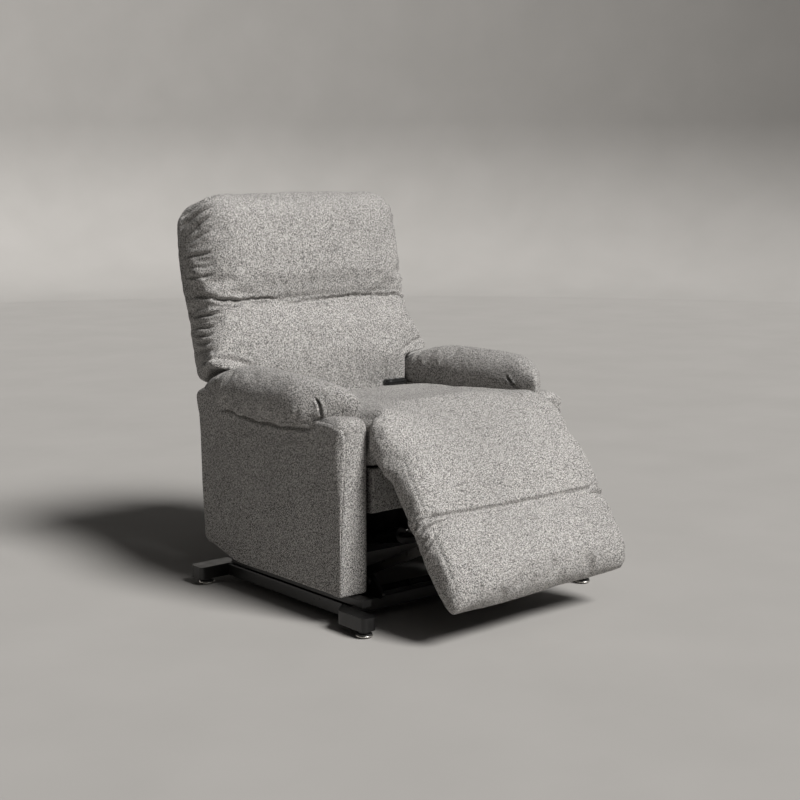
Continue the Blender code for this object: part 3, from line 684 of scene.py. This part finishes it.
# ---------------------------------------------------------------- chaise pad
def chaise():
    """One pad from the seat's rear edge over its nose and down the leg rest."""
    # (y, z) on its face, (y, z) on its back, half width
    table = [(0.552, 0.49, 0.552, 0.42, 0.29), (0.545, 0.497, 0.545, 0.405, 0.2985),
             (0.52, 0.501, 0.52, 0.4, 0.3), (0.48, 0.506, 0.48, 0.399, 0.301),
             (0.4, 0.518, 0.4, 0.399, 0.301), (0.3, 0.524, 0.3, 0.399, 0.301),
             (0.2, 0.531, 0.2, 0.399, 0.301), (0.12, 0.539, 0.12, 0.399, 0.301),
             (0.06, 0.543, 0.06, 0.399, 0.301), (0.018, 0.542, 0.02, 0.404, 0.301),
             (-0.002, 0.538, 0.008, 0.43, 0.303), (-0.016, 0.534, -0.009, 0.444, 0.315),
             (-0.035, 0.528, -0.016, 0.442, 0.324), (-0.068, 0.509, -0.026, 0.436, 0.329),
             (-0.096, 0.482, -0.042, 0.418, 0.331), (-0.118, 0.453, -0.058, 0.404, 0.33)]
    table += [(*leg(s, front), *leg(s, rear), half) for s, front, rear, half in (
        (0.03, -0.049, 0.025, 0.327), (0.08, -0.054, 0.026, 0.327),
        (0.135, -0.053, 0.026, 0.3265), (0.158, -0.048, 0.026, 0.325),
        (LEG_SEAM, -0.039, 0.026, 0.322), (0.182, -0.046, 0.026, 0.325),
        (0.225, -0.054, 0.026, 0.327), (0.29, -0.057, 0.026, 0.327),
        (0.34, -0.053, 0.026, 0.325), (0.37, -0.044, 0.025, 0.321),
        (0.39, -0.03, 0.021, 0.315), (0.401, -0.012, 0.013, 0.306))]
    rows = stations(table, 0.0085, 0.008)
    top, low, half = rows[:, 0:2], rows[:, 2:4], rows[:, 4]
    middle, reach = (top + low) / 2, (top - low) / 2
    thick = np.linalg.norm(reach, axis=1)
    up = reach / thick[:, None]
    u, v = round_box(half, thick, np.minimum(0.034, thick * 0.92), 184)
    over = np.clip(v / thick[:, None], 0, 1) ** 2
    lift = over * 0.008 * (1 - (u / half[:, None]) ** 4)
    # the pad rests on its board, so its back is flat
    y, z = (middle[:, k:k + 1] + up[:, k:k + 1] * (v + lift) for k in (0, 1))
    pad = loft("chaise_pad", np.stack([u, y, z], 2))

    start = np.array(LEG_START)
    down = np.array([-math.sin(LEG_LEAN), -math.cos(LEG_LEAN)])
    behind = np.array([math.cos(LEG_LEAN), -math.sin(LEG_LEAN)])

    def on_leg(points):
        """How far points are down the leg rest's line, and behind it."""
        rel = points[:, 1:] - start
        return rel @ down, rel @ behind

    p, n = read(pad)
    s, m = on_leg(p)
    # its lower edge hangs a little to one side
    p[:, 1:] += (0.007 * ease(s, 0.15, 0.4) * -p[:, 0] / 0.32)[:, None] * down
    write(pad, p)
    sewn = hump(s, LEG_SEAM, 0.012)
    sewn = np.maximum(sewn, (s > 0.0) * ease(m, 0.01, 0.022))
    sewn = np.maximum(sewn, (p[:, 1] > -0.01) * (p[:, 2] < 0.47))
    sewn = np.maximum(sewn, (np.abs(p[:, 0]) > 0.295) * (p[:, 1] > -0.03))
    sewn = np.maximum(sewn, p[:, 1] > 0.52)
    write(pad, p - n * 0.004 * (1 - sewn)[:, None])
    swell(pad, sewn, 0.014, slack=0.015)
    subdivide(pad)

    p, n = read(pad)
    s, m = on_leg(p)
    fore = (m < 0.012) & (s > -0.05)
    move = 0.0024 * wander(p, 0.12, 31) + 0.001 * wander(p, 0.05, 32)
    # puckers where the cloth is gathered into the seam and at the lower edge
    gather = wander(p * (1.0, 0.25, 0.25), 0.016, 33)
    move += fore * 0.0016 * gather * (hump(s, LEG_SEAM, 0.022) + 0.8 * ease(s, 0.335, 0.385))
    edge_gather = wander(p * (0.25, 1.0, 1.0), 0.015, 34)
    move += 0.0016 * edge_gather * ease(np.abs(p[:, 0]), 0.3, 0.33) * (p[:, 1] < -0.06)

    def front(x, s_at, n_at=-0.058):
        y, z = leg(s_at, n_at)
        return (x, y, z)

    folds = [([front(-0.328, LEG_SEAM + 0.006, 0.01), front(-0.323, LEG_SEAM + 0.004, -0.03),
               front(-0.3, LEG_SEAM - 0.002), front(-0.25, LEG_SEAM - 0.004),
               front(-0.1, LEG_SEAM + 0.001), front(0.1, LEG_SEAM + 0.001),
               front(0.29, LEG_SEAM), front(0.322, LEG_SEAM, -0.03),
               front(0.328, LEG_SEAM, 0.01)], 0.009, 0.0038, 0.04)]
    for sign in (-1, 1):
        # stitched edge between the face and the boxing
        ridge_line = [front(sign * 0.309, at, -0.05) for at in np.linspace(-0.01, 0.37, 12)]
        folds.append((ridge_line, 0.002, 0.0034, 0.06))
        for at, run, depth in ((0.142, 0.03, 0.008), (0.156, 0.05, 0.011), (0.184, 0.06, 0.013),
                               (0.203, 0.042, 0.01), (0.222, 0.03, 0.007)):
            folds.append(([front(sign * 0.327, at + 0.016, 0.004),
                           front(sign * 0.322, at + 0.004, -0.03),
                           front(sign * (0.312 - run), at + (LEG_SEAM - at) * 0.45)],
                          depth, 0.0052, 0.25))
        folds.append(([front(sign * 0.322, 0.376, 0.0), front(sign * 0.308, 0.358, -0.035),
                       front(sign * 0.282, 0.338, -0.05)], 0.005, 0.005, 0.3))
    for x, run in ((-0.24, 0.03), (-0.17, 0.02), (-0.05, 0.026), (0.06, 0.018), (0.16, 0.03),
                   (0.22, 0.036), (0.27, 0.022)):
        folds.append(([front(x, 0.392, -0.018), front(x + 0.003, 0.38, -0.04),
                       front(x + 0.006, 0.372 - run, -0.055)], 0.0032, 0.004, 0.35))
    for path, depth, width, fade in folds:
        move += fold(p, n, path, depth, width, fade=fade)
    # the upper section hangs a little over the seam
    move += fore * (0.006 * hump(s, LEG_SEAM - 0.016, 0.013)
                    + 0.002 * hump(s, LEG_SEAM + 0.026, 0.018))
    # dimples of the sitter's place
    move -= 0.003 * hump(p[:, 0], -0.12, 0.07) * hump(p[:, 1], 0.22, 0.1) * (p[:, 2] > 0.5)
    move -= 0.003 * hump(p[:, 0], 0.13, 0.07) * hump(p[:, 1], 0.2, 0.1) * (p[:, 2] > 0.5)
    # the nose stands up beside the arms, inside the arm pads
    x = np.abs(p[:, 0])
    shoulder = ease(x, 0.17, 0.27) * hump(p[:, 1], -0.005, 0.05) * (p[:, 2] > 0.5)
    shoulder *= 1 - ease(x, 0.28, 0.294) * (p[:, 1] > -0.012)
    write(pad, p + n * move[:, None] + (0.014 * shoulder)[:, None] * (0.0, 0.0, 1.0))
    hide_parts("seat_cushion", "leg_rest_pad")
    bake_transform(pad)


# ---------------------------------------------------------------- arms
# arm pad: distance behind its slanted nose, low and top z of its sides, inner x, outer x
PAD_TABLE = [
    (0.0, 0.548, 0.58, 0.334, 0.376), (0.0015, 0.542, 0.592, 0.325, 0.391),
    (0.005, 0.538, 0.604, 0.317, 0.403), (0.012, 0.536, 0.614, 0.3095, 0.412),
    (0.025, 0.535, 0.622, 0.3035, 0.421), (0.045, 0.53, 0.629, 0.299, 0.427),
    (0.07, 0.519, 0.633, 0.297, 0.431), (0.1, 0.509, 0.636, 0.297, 0.433),
    (0.14, 0.504, 0.637, 0.297, 0.434), (0.175, 0.505, 0.637, 0.297, 0.434),
    (0.25, 0.5, 0.637, 0.297, 0.434), (0.35, 0.498, 0.636, 0.297, 0.434),
    (0.45, 0.503, 0.632, 0.297, 0.432), (0.5, 0.506, 0.624, 0.297, 0.43),
    (0.526, 0.506, 0.617, 0.297, 0.426), (0.54, 0.506, 0.612, 0.298, 0.415),
    (0.552, 0.506, 0.608, 0.299, 0.405), (0.58, 0.507, 0.598, 0.3, 0.402),
    (0.61, 0.507, 0.585, 0.302, 0.4), (0.63, 0.508, 0.572, 0.305, 0.397),
    (0.65, 0.51, 0.554, 0.312, 0.392), (0.657, 0.518, 0.54, 0.328, 0.382)]
PAD_SLANT = 0.98                     # the nose stands further back on the outer side
# folds of the arm pad: (distance from the middle plane, y, z) along each, depth, width and fade
PAD_FOLDS = [
    # slit between the side pad and the band over the nose, outside and inside
    ([(0.405, 0.103, 0.59), (0.395, 0.096, 0.574), (0.392, 0.093, 0.556),
      (0.39, 0.09, 0.532)], 0.017, 0.003, 0.16),
    ([(0.3, 0.13, 0.58), (0.298, 0.112, 0.567), (0.298, 0.088, 0.55)], 0.014, 0.003, 0.22),
    # crease where the pad ends and its rear flap starts
    ([(0.385, 0.56, 0.598), (0.402, 0.556, 0.585), (0.408, 0.55, 0.565), (0.41, 0.547, 0.54),
      (0.408, 0.548, 0.514)], 0.009, 0.0036, 0.18),
    # drag folds behind the slit
    ([(0.431, 0.135, 0.562), (0.433, 0.15, 0.535), (0.428, 0.168, 0.508)], 0.005, 0.0065, 0.4),
    ([(0.432, 0.235, 0.54), (0.433, 0.262, 0.52), (0.428, 0.285, 0.503)], 0.003, 0.007, 0.4),
    ([(0.43, 0.35, 0.53), (0.432, 0.38, 0.512), (0.428, 0.42, 0.503)], 0.003, 0.0065, 0.4),
    ([(0.428, 0.46, 0.56), (0.43, 0.49, 0.535), (0.428, 0.51, 0.515)], 0.003, 0.006, 0.4)]


def pad_underside(y):
    """Height of the arm pads' underside at y."""
    return through(y, [(0.0, 0.532), (0.09, 0.532), (0.104, 0.527), (0.118, 0.512), (0.135, 0.505),
                       (0.17, 0.504), (0.25, 0.499), (0.35, 0.497), (0.43, 0.503), (0.5, 0.511),
                       (0.53, 0.507), (0.65, 0.508)])


def arm_pad(label, sign):
    """The stuffed pillow on an arm, with a band over its slanted nose."""
    rows = stations(PAD_TABLE, 0.0055, 0.004, measure=3)
    count = 104
    angle = np.linspace(0, 2 * math.pi, 721)
    rings = []
    for back, low, high, x_in, x_out in rows:
        power = np.where(np.sin(angle) < 0, 0.5, 1.0 - 0.24 * ease(back, 0.03, 0.12))
        du = np.sign(np.cos(angle)) * np.abs(np.cos(angle)) ** power * (x_out - x_in) / 2
        dv = np.sign(np.sin(angle)) * np.abs(np.sin(angle)) ** power * (high - low) / 2
        half = len(angle) // 2
        ring = []
        for part in (slice(0, half + 1), slice(half, len(angle))):
            a, b = du[part], dv[part]
            run = np.concatenate([[0], np.cumsum(np.hypot(np.diff(a), np.diff(b)))])
            places = np.linspace(0, run[-1], count // 2 + 1)[:-1]
            ring.append(np.stack([np.interp(places, run, a), np.interp(places, run, b)], 1))
        ring = np.concatenate(ring)
        x = (x_in + x_out) / 2 + ring[:, 0]
        y = 0.004 + back + PAD_SLANT * (x - 0.302) * (1 - ease(back, 0.0, 0.26))
        middle = (low + high) / 2
        under = (middle - pad_underside(y)) / ((high - low) / 2)
        z = middle + ring[:, 1] * np.where(ring[:, 1] < 0, under, 1.0)
        rings.append(np.stack([sign * x, y, z], 1))
    pad = loft(f"arm_pad_cover_{label}", np.array(rings))

    p, n = read(pad)
    sewn = np.maximum(p[:, 2] < 0.515, (p[:, 1] > 0.545)).astype(float)
    write(pad, p - n * 0.004 * (1 - sewn)[:, None])
    swell(pad, sewn, 0.01, slack=0.012)
    subdivide(pad)

    p, n = read(pad)
    out = sign * p[:, 0]
    move = 0.0018 * wander(p, 0.09, 41) + 0.0008 * wander(p, 0.035, 42)
    # scallops along the lower outer edge
    edge = (out > 0.4) * hump(p[:, 2], 0.508, 0.016)
    edge *= ease(p[:, 1], 0.09, 0.14) * ease(-p[:, 1], -0.53, -0.45)
    move += edge * (0.0032 * np.sin(p[:, 1] * 58 + 0.6) + 0.0018 * np.sin(p[:, 1] * 131 + 1.1))

    folds = [([(sign * x, y, z) for x, y, z in path], *rest) for path, *rest in PAD_FOLDS]
    for path, depth, width, fade in folds:
        slit = width < 0.0035
        move += fold(p, n, path, depth, width, fade=fade, ridge=0.15 if slit else 0.45)
    # its lower outer edge tucks in over the side panel
    tuck = [(sign * 0.433, y, float(pad_underside(y)) + 0.001)
            for y in np.linspace(0.135, 0.535, 60)]
    move += fold(p, n, tuck, 0.0055, 0.005, ridge=0.3, fade=0.06)
    # the side pad swells out behind the slit
    move += 0.0055 * hump(p[:, 1] - 0.98 * (out - 0.4), 0.128, 0.02) * (out > 0.385) * (
        hump(p[:, 2], 0.55, 0.03))
    write(pad, p + n * move[:, None])
    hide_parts(f"arm_pad_{label}")
    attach(pad, "chair")


def corner_radius(z):
    """How far the side's cloth wraps round the arm's outer front corner."""
    return through(z, [(0.08, 0.003), (0.16, 0.005), (0.25, 0.009), (0.34, 0.015), (0.42, 0.022),
                       (0.465, 0.025), (0.5, 0.022), (0.518, 0.012), (0.53, 0.006), (0.57, 0.006)])


def arm_front(label, sign):
    """Keyhole front panel, rounded on its inner side, whose top runs back under the pad's nose."""
    top = 0.541

    def outline(s, t):
        z = BODY_BOTTOM + t * (top - BODY_BOTTOM)
        inner = through(z, [(0.08, 0.3045), (0.45, 0.3045), (0.5, 0.302), (0.515, 0.303),
                            (0.526, 0.307), (0.535, 0.314), (0.541, 0.326)])
        outer = ARM_OUT - through(z, [(0.08, 0.002), (0.16, 0.004), (0.25, 0.008), (0.34, 0.014),
                                      (0.42, 0.021), (0.465, 0.024), (0.5, 0.02), (0.512, 0.01),
                                      (0.52, 0.005), (0.528, 0.009), (0.536, 0.018),
                                      (0.541, 0.034)])
        return inner + s * (outer - inner), z, inner, outer

    def front(s, t):
        x, z, inner, outer = outline(s, t)
        wrap = through(z, [(0.08, 0.0035), (0.49, 0.0035), (0.512, 0.014), (0.525, 0.026),
                           (0.541, 0.032)])
        y = rounded_edge(outer - x, wrap) + rounded_edge(x - inner, 0.026)
        y += rounded_edge(top + 0.0005 - z, 0.022) + rounded_edge(z - BODY_BOTTOM, 0.004)
        y -= 0.0025 * np.sin(math.pi * s) * np.sin(math.pi * t) ** 0.4
        return np.stack([sign * x, y + 0.0005, z], -1)

    def rear(s, t):
        x, z, inner, outer = outline(s, t)
        deep = 0.034 + 0.09 * ease(z, 0.505, 0.525)
        return np.stack([sign * x, np.maximum(deep, front(s, t)[..., 1] + 0.006), z], -1)

    panel = slab(f"arm_front_cover_{label}", front, rear, (36, 120))
    p, n = read(panel)
    p = p + n * (0.0012 * wander(p, 0.07, 51) + 0.0005 * wander(p, 0.03, 52))[:, None]
    write(panel, p)
    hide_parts(f"arm_front_panel_{label}")
    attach(panel, "chair")

    # two rows of stitches beside the seam
    z = np.linspace(BODY_BOTTOM + 0.006, 0.515, 110)
    lines = []
    for inset in (0.004, 0.0085):
        x = ARM_OUT - corner_radius(z) - inset
        line = onto(*read(panel), np.stack([sign * x, np.zeros_like(z), z], 1))
        lines.append(line - (0, 0.0004, 0))
    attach(stitches(f"arm_front_stitches_{label}", lines), "chair")


def arm_side(label, sign):
    """Padded outer side: it wraps round the front corner and ends at the leaning rear edge."""
    def outline(s, t):
        low = through(s, [(0, 0.08), (0.735, 0.08), (0.775, 0.083), (0.965, 0.115), (1, 0.124)])
        y_mid = s * ARM_RUN
        corner = through(y_mid, [(0.0, 0.502), (0.008, 0.514), (0.02, 0.523), (0.038, 0.529),
                                 (0.06, 0.531)])
        high = np.where(y_mid < 0.53, np.minimum(pad_underside(y_mid) + 0.022, corner),
                        through(y_mid, [(0.53, 0.52), (0.565, 0.545), (0.6, 0.56), (0.637, 0.553),
                                        (0.655, 0.544), (0.665, 0.53)]))
        z = low + t * (high - low)
        rear = through(z, [(0.08, 0.632), (0.127, 0.639), (0.276, 0.65), (0.45, 0.657),
                           (0.474, 0.66), (0.498, 0.667), (0.522, 0.671), (0.56, 0.668)])
        return z, low, high, rear

    def outer(s, t):
        z, low, high, rear = outline(s, t)
        r = corner_radius(z)
        arc = r * math.pi / 2
        run = s * (arc + rear - r)
        turn = np.clip(run / r, 0, math.pi / 2)
        x = ARM_OUT - r + r * np.sin(turn)
        y = r - r * np.cos(turn) + np.clip(run - arc, 0, None) + 0.0006
        y = y + 0.004 * hump(run, 0.0, 0.0032) - 0.003 * hump(run, 0.01, 0.006) * (z < 0.5)
        fall = rounded_edge((1 - s) * 0.64, 0.012) + rounded_edge(z - low, 0.005)
        fall += rounded_edge(np.maximum(high - z, 0), 0.014) * ease(y, 0.55, 0.6)
        fall += rounded_edge(np.maximum(high - z, 0), 0.014) * ease(-y, -0.14, -0.1)
        puff = 0.0025 * ease(s, 0.02, 0.12) * np.sin(math.pi * np.clip(s, 0, 1)) ** 0.5
        puff *= np.sin(math.pi * np.clip(t, 0, 1)) ** 0.5
        into = np.clip(turn / (math.pi / 2), 0, 1)
        return np.stack([sign * (x - 0.0012 * into - fall * into + puff), y, z], -1)

    def inner(s, t):
        z, low, high, rear = outline(s, t)
        points = outer(s, t)
        y = np.maximum(points[..., 1], 0.012 + 0.02 * s)
        return np.stack([np.full_like(z, sign * (ARM_OUT - 0.03)), y, z], -1)

    panel = slab(f"arm_side_cover_{label}", outer, inner, (130, 90))
    p, n = read(panel)
    move = 0.0014 * wander(p, 0.12, 61) + 0.0006 * wander(p, 0.05, 62)
    hem = [(sign * ARM_OUT, y, float(through(y, [(0.02, 0.094), (0.488, 0.094), (0.62, 0.131)])))
           for y in np.linspace(0.02, 0.62, 60)]
    move += fold(p, n, hem, 0.001, 0.0035, ridge=0.5, fade=0.03)
    tuck = [(sign * ARM_OUT, y, float(pad_underside(y)) - 0.002)
            for y in np.linspace(0.1, 0.54, 60)]
    move += fold(p, n, tuck, 0.0075, 0.0052, ridge=0.25, fade=0.06)
    drags = ((0.16, 0.485, 0.3, 0.44, 0.0018), (0.3, 0.48, 0.45, 0.452, 0.0014),
             (0.45, 0.49, 0.58, 0.455, 0.0015), (0.05, 0.49, 0.07, 0.42, 0.0014))
    for y0, z0, y1, z1, depth in drags:
        drag = [(sign * ARM_OUT, y0, z0), (sign * ARM_OUT, y1, z1)]
        move += fold(p, n, drag, depth, 0.011, fade=0.4)
    write(panel, p + n * move[:, None])
    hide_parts(f"arm_outer_panel_{label}")
    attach(panel, "chair")


def arm_inside(label, sign):
    """Inner side of the arm, beside the seat."""
    front, rear, low, high = 0.03, 0.648, 0.14, 0.512

    def face(s, t):
        y = front + s * (rear - front - 0.03 * (1 - t))
        z = low + t * (high - low)
        edge = sum(rounded_edge(d, 0.004) for d in (s * 0.6, (1 - s) * 0.6, t * 0.37))
        return np.stack([sign * (ARM_IN - 0.0005 + edge), y, z], -1)

    lining = flat(face, 0, sign * (ARM_IN + 0.014))
    panel = slab(f"arm_inside_cover_{label}", face, lining, (70, 44))
    p, n = read(panel)
    outward = (sign * p[:, 0] < ARM_IN + 0.006)
    write(panel, p - n * (outward * 0.0008 * (1 + wander(p, 0.08, 71)))[:, None])
    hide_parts(f"arm_inner_panel_{label}")
    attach(panel, "chair")


def arm_rear(label, sign):
    """Rear face of the arm box."""
    low, high, near, far = 0.112, 0.505, 0.306, 0.4

    def face(s, t):
        z = low + t * (high - low)
        y = through(z, [(low, 0.63), (0.1185, 0.6325), (high, 0.666)])
        x = near + s * (far - near)
        edge = rounded_edge(s * (far - near), 0.006) + rounded_edge((1 - s) * (far - near), 0.01)
        return np.stack([sign * x, y - edge + 0.0015 * np.sin(math.pi * s), z], -1)

    panel = slab(f"arm_rear_cover_{label}", face, lambda s, t: face(s, t) - (0, 0.022, 0), (18, 72))
    p, n = read(panel)
    write(panel, p + n * (0.0009 * wander(p, 0.06, 81))[:, None])
    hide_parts(f"arm_back_panel_{label}")
    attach(panel, "chair")


def apron():
    """Cloth-covered panel under the front of the seat."""
    wide, low, tall = 0.574, 0.283, 0.118

    def face(s, t):
        x, z = -wide / 2 + s * wide, low + t * tall
        edge = rounded_edge((0.5 - np.abs(s - 0.5)) * wide, 0.006) + rounded_edge(t * tall, 0.005)
        return np.stack([x, 0.014 + edge - 0.0015 * np.sin(math.pi * t), z], -1)

    panel = slab("front_apron_cover", face, flat(face, 1, 0.042), (80, 20))
    p, n = read(panel)
    write(panel, p + n * (0.0012 * wander(p, 0.05, 91) * (p[:, 1] < 0.035))[:, None])
    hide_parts("front_apron")
    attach(panel, "chair")


def rear_shade_skirt():
    """Thin black cloth hung across the rear of the seat box: painted shade, a dark sheet standing
    in for the shadow under the chair.
    """
    def face(s, t):
        z = 0.035 + t * 0.31
        half = through(z, [(0.035, 0.33), (0.066, 0.33), (0.076, 0.366), (0.13, 0.366),
                           (0.138, 0.3), (0.345, 0.3)])
        x = (2 * s - 1) * half
        hang = 0.003 * np.sin(x * 52 + 0.7) * (1 - t) + 0.0018 * np.sin(x * 117) * (1 - t)
        return np.stack([x, 0.598 + hang + 0.004 * (1 - t), z], -1)

    # this black sheet is painted shade: it hides the lit floor behind and darkens the space under
    # the seat
    skirt = slab("rear_shade_sheet", face, lambda s, t: face(s, t) + (0, 0.0016, 0), (90, 20),
                 COVER)
    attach(skirt, "chair")


# ---------------------------------------------------------------- metal, plastic and small parts
def finish_nodes():
    """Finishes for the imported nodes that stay, with their edges softened."""
    slots = {"black_steel": STEEL, "mechanism_steel": PLATE, "black_plastic": PLASTIC,
             "button_grey": BUTTON, "glide_plastic": RUBBER, "board": COVER, "grey_tweed": TWEED}
    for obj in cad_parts.values():
        for i, old in enumerate(obj.data.materials):
            key = old.name.split(".")[0]
            obj.data.materials[i] = slots.get(key, STEEL)
        if obj.hide_render:
            continue
        bevel = obj.modifiers.new("soft_edges", "BEVEL")
        bevel.width, bevel.segments = 0.0008, 2
        bevel.limit_method, bevel.angle_limit = "ANGLE", math.radians(40)


def glide_rings():
    """Bright steel rims of the glides."""
    rim_radius, rim_height, rim_bead = 0.0198, 0.0048, 0.0021
    for where, x, y in (("front", 0.397, -0.09), ("rear", 0.428, 0.59)):
        for label, sign in SIDES:
            turn = np.linspace(0, 2 * math.pi, 40, endpoint=False)
            ring = np.stack([sign * x + rim_radius * np.cos(turn), y + rim_radius * np.sin(turn),
                             np.full_like(turn, rim_height)], 1)
            rim = hoop(f"glide_rim_{where}_{label}", ring, rim_bead, NICKEL)
            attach(rim, "base")


# ---------------------------------------------------------------- floor, lights and camera
def backdrop(name, profile, sides=96):
    """A surface turned round the z axis, from (radius, z) pairs."""
    turn = np.linspace(0, 2 * math.pi, sides, endpoint=False)
    points = [(r * math.cos(a), r * math.sin(a), z) for r, z in profile for a in turn]
    faces = [(i * sides + k, i * sides + (k + 1) % sides, (i + 1) * sides + (k + 1) % sides,
              (i + 1) * sides + k) for i in range(len(profile) - 1) for k in range(sides)]
    mesh = bpy.data.meshes.new(name)
    mesh.from_pydata(points, [], faces)
    mesh.shade_smooth()
    mesh.materials.append(floor_paint(name))
    obj = bpy.data.objects.new(name, mesh)
    bpy.context.scene.collection.objects.link(obj)
    return obj


def studio():
    """Floor and wall, two soft lights and the camera."""
    backdrop("floor", [(r, -0.0005) for r in (0.001, 1.0, 2.5, 5.0, 9.0)])
    cove = [(9.0 + 1.5 * math.sin(a), 1.5 - 1.5 * math.cos(a) - 0.0005)
            for a in np.linspace(0, math.pi / 2, 12)]
    wall = backdrop("wall", cove + [(10.5, 6.0)])
    wall.visible_shadow = wall.visible_diffuse = False

    world = bpy.data.worlds.new("studio")
    bpy.context.scene.world = world
    world.use_nodes = True
    world.node_tree.nodes["Background"].inputs["Color"].default_value = (1.0, 0.965, 0.93, 1.0)
    world.node_tree.nodes["Background"].inputs["Strength"].default_value = 0.026
    bpy.context.scene.view_settings.view_transform = "Standard"

    for name, toward, angle, power, colour in (
            ("key", (0.2, -0.83, 0.9), 22.0, 4.1, (1.0, 0.985, 0.965)),
            ("fill", (0.2, -0.55, 1.0), 80.0, 0.16, (1.0, 0.99, 0.98))):
        light = bpy.data.lights.new(name, "SUN")
        light.angle, light.energy, light.color = math.radians(angle), power, colour
        lamp = bpy.data.objects.new(name, light)
        lamp.rotation_euler = Vector(toward).to_track_quat("Z", "Y").to_euler()
        bpy.context.scene.collection.objects.link(lamp)

    lens = bpy.data.cameras.new("camera")
    lens.lens, lens.sensor_width = 70.0, 36.0
    camera = bpy.data.objects.new("camera", lens)
    camera.location = (-2.757, FRONT_Y - 3.057, 1.207)
    camera.rotation_euler = (math.radians(90 - 9.009), 0.0, math.radians(-39.86))
    bpy.context.scene.collection.objects.link(camera)
    bpy.context.scene.camera = camera


back_cushion()
back_shell()
chaise()
for label, sign in SIDES:
    arm_pad(label, sign)
    arm_front(label, sign)
    arm_side(label, sign)
    arm_inside(label, sign)
    arm_rear(label, sign)
apron()
# black sheet under the seat's rear, painted shade
rear_shade_skirt()
finish_nodes()
glide_rings()
studio()
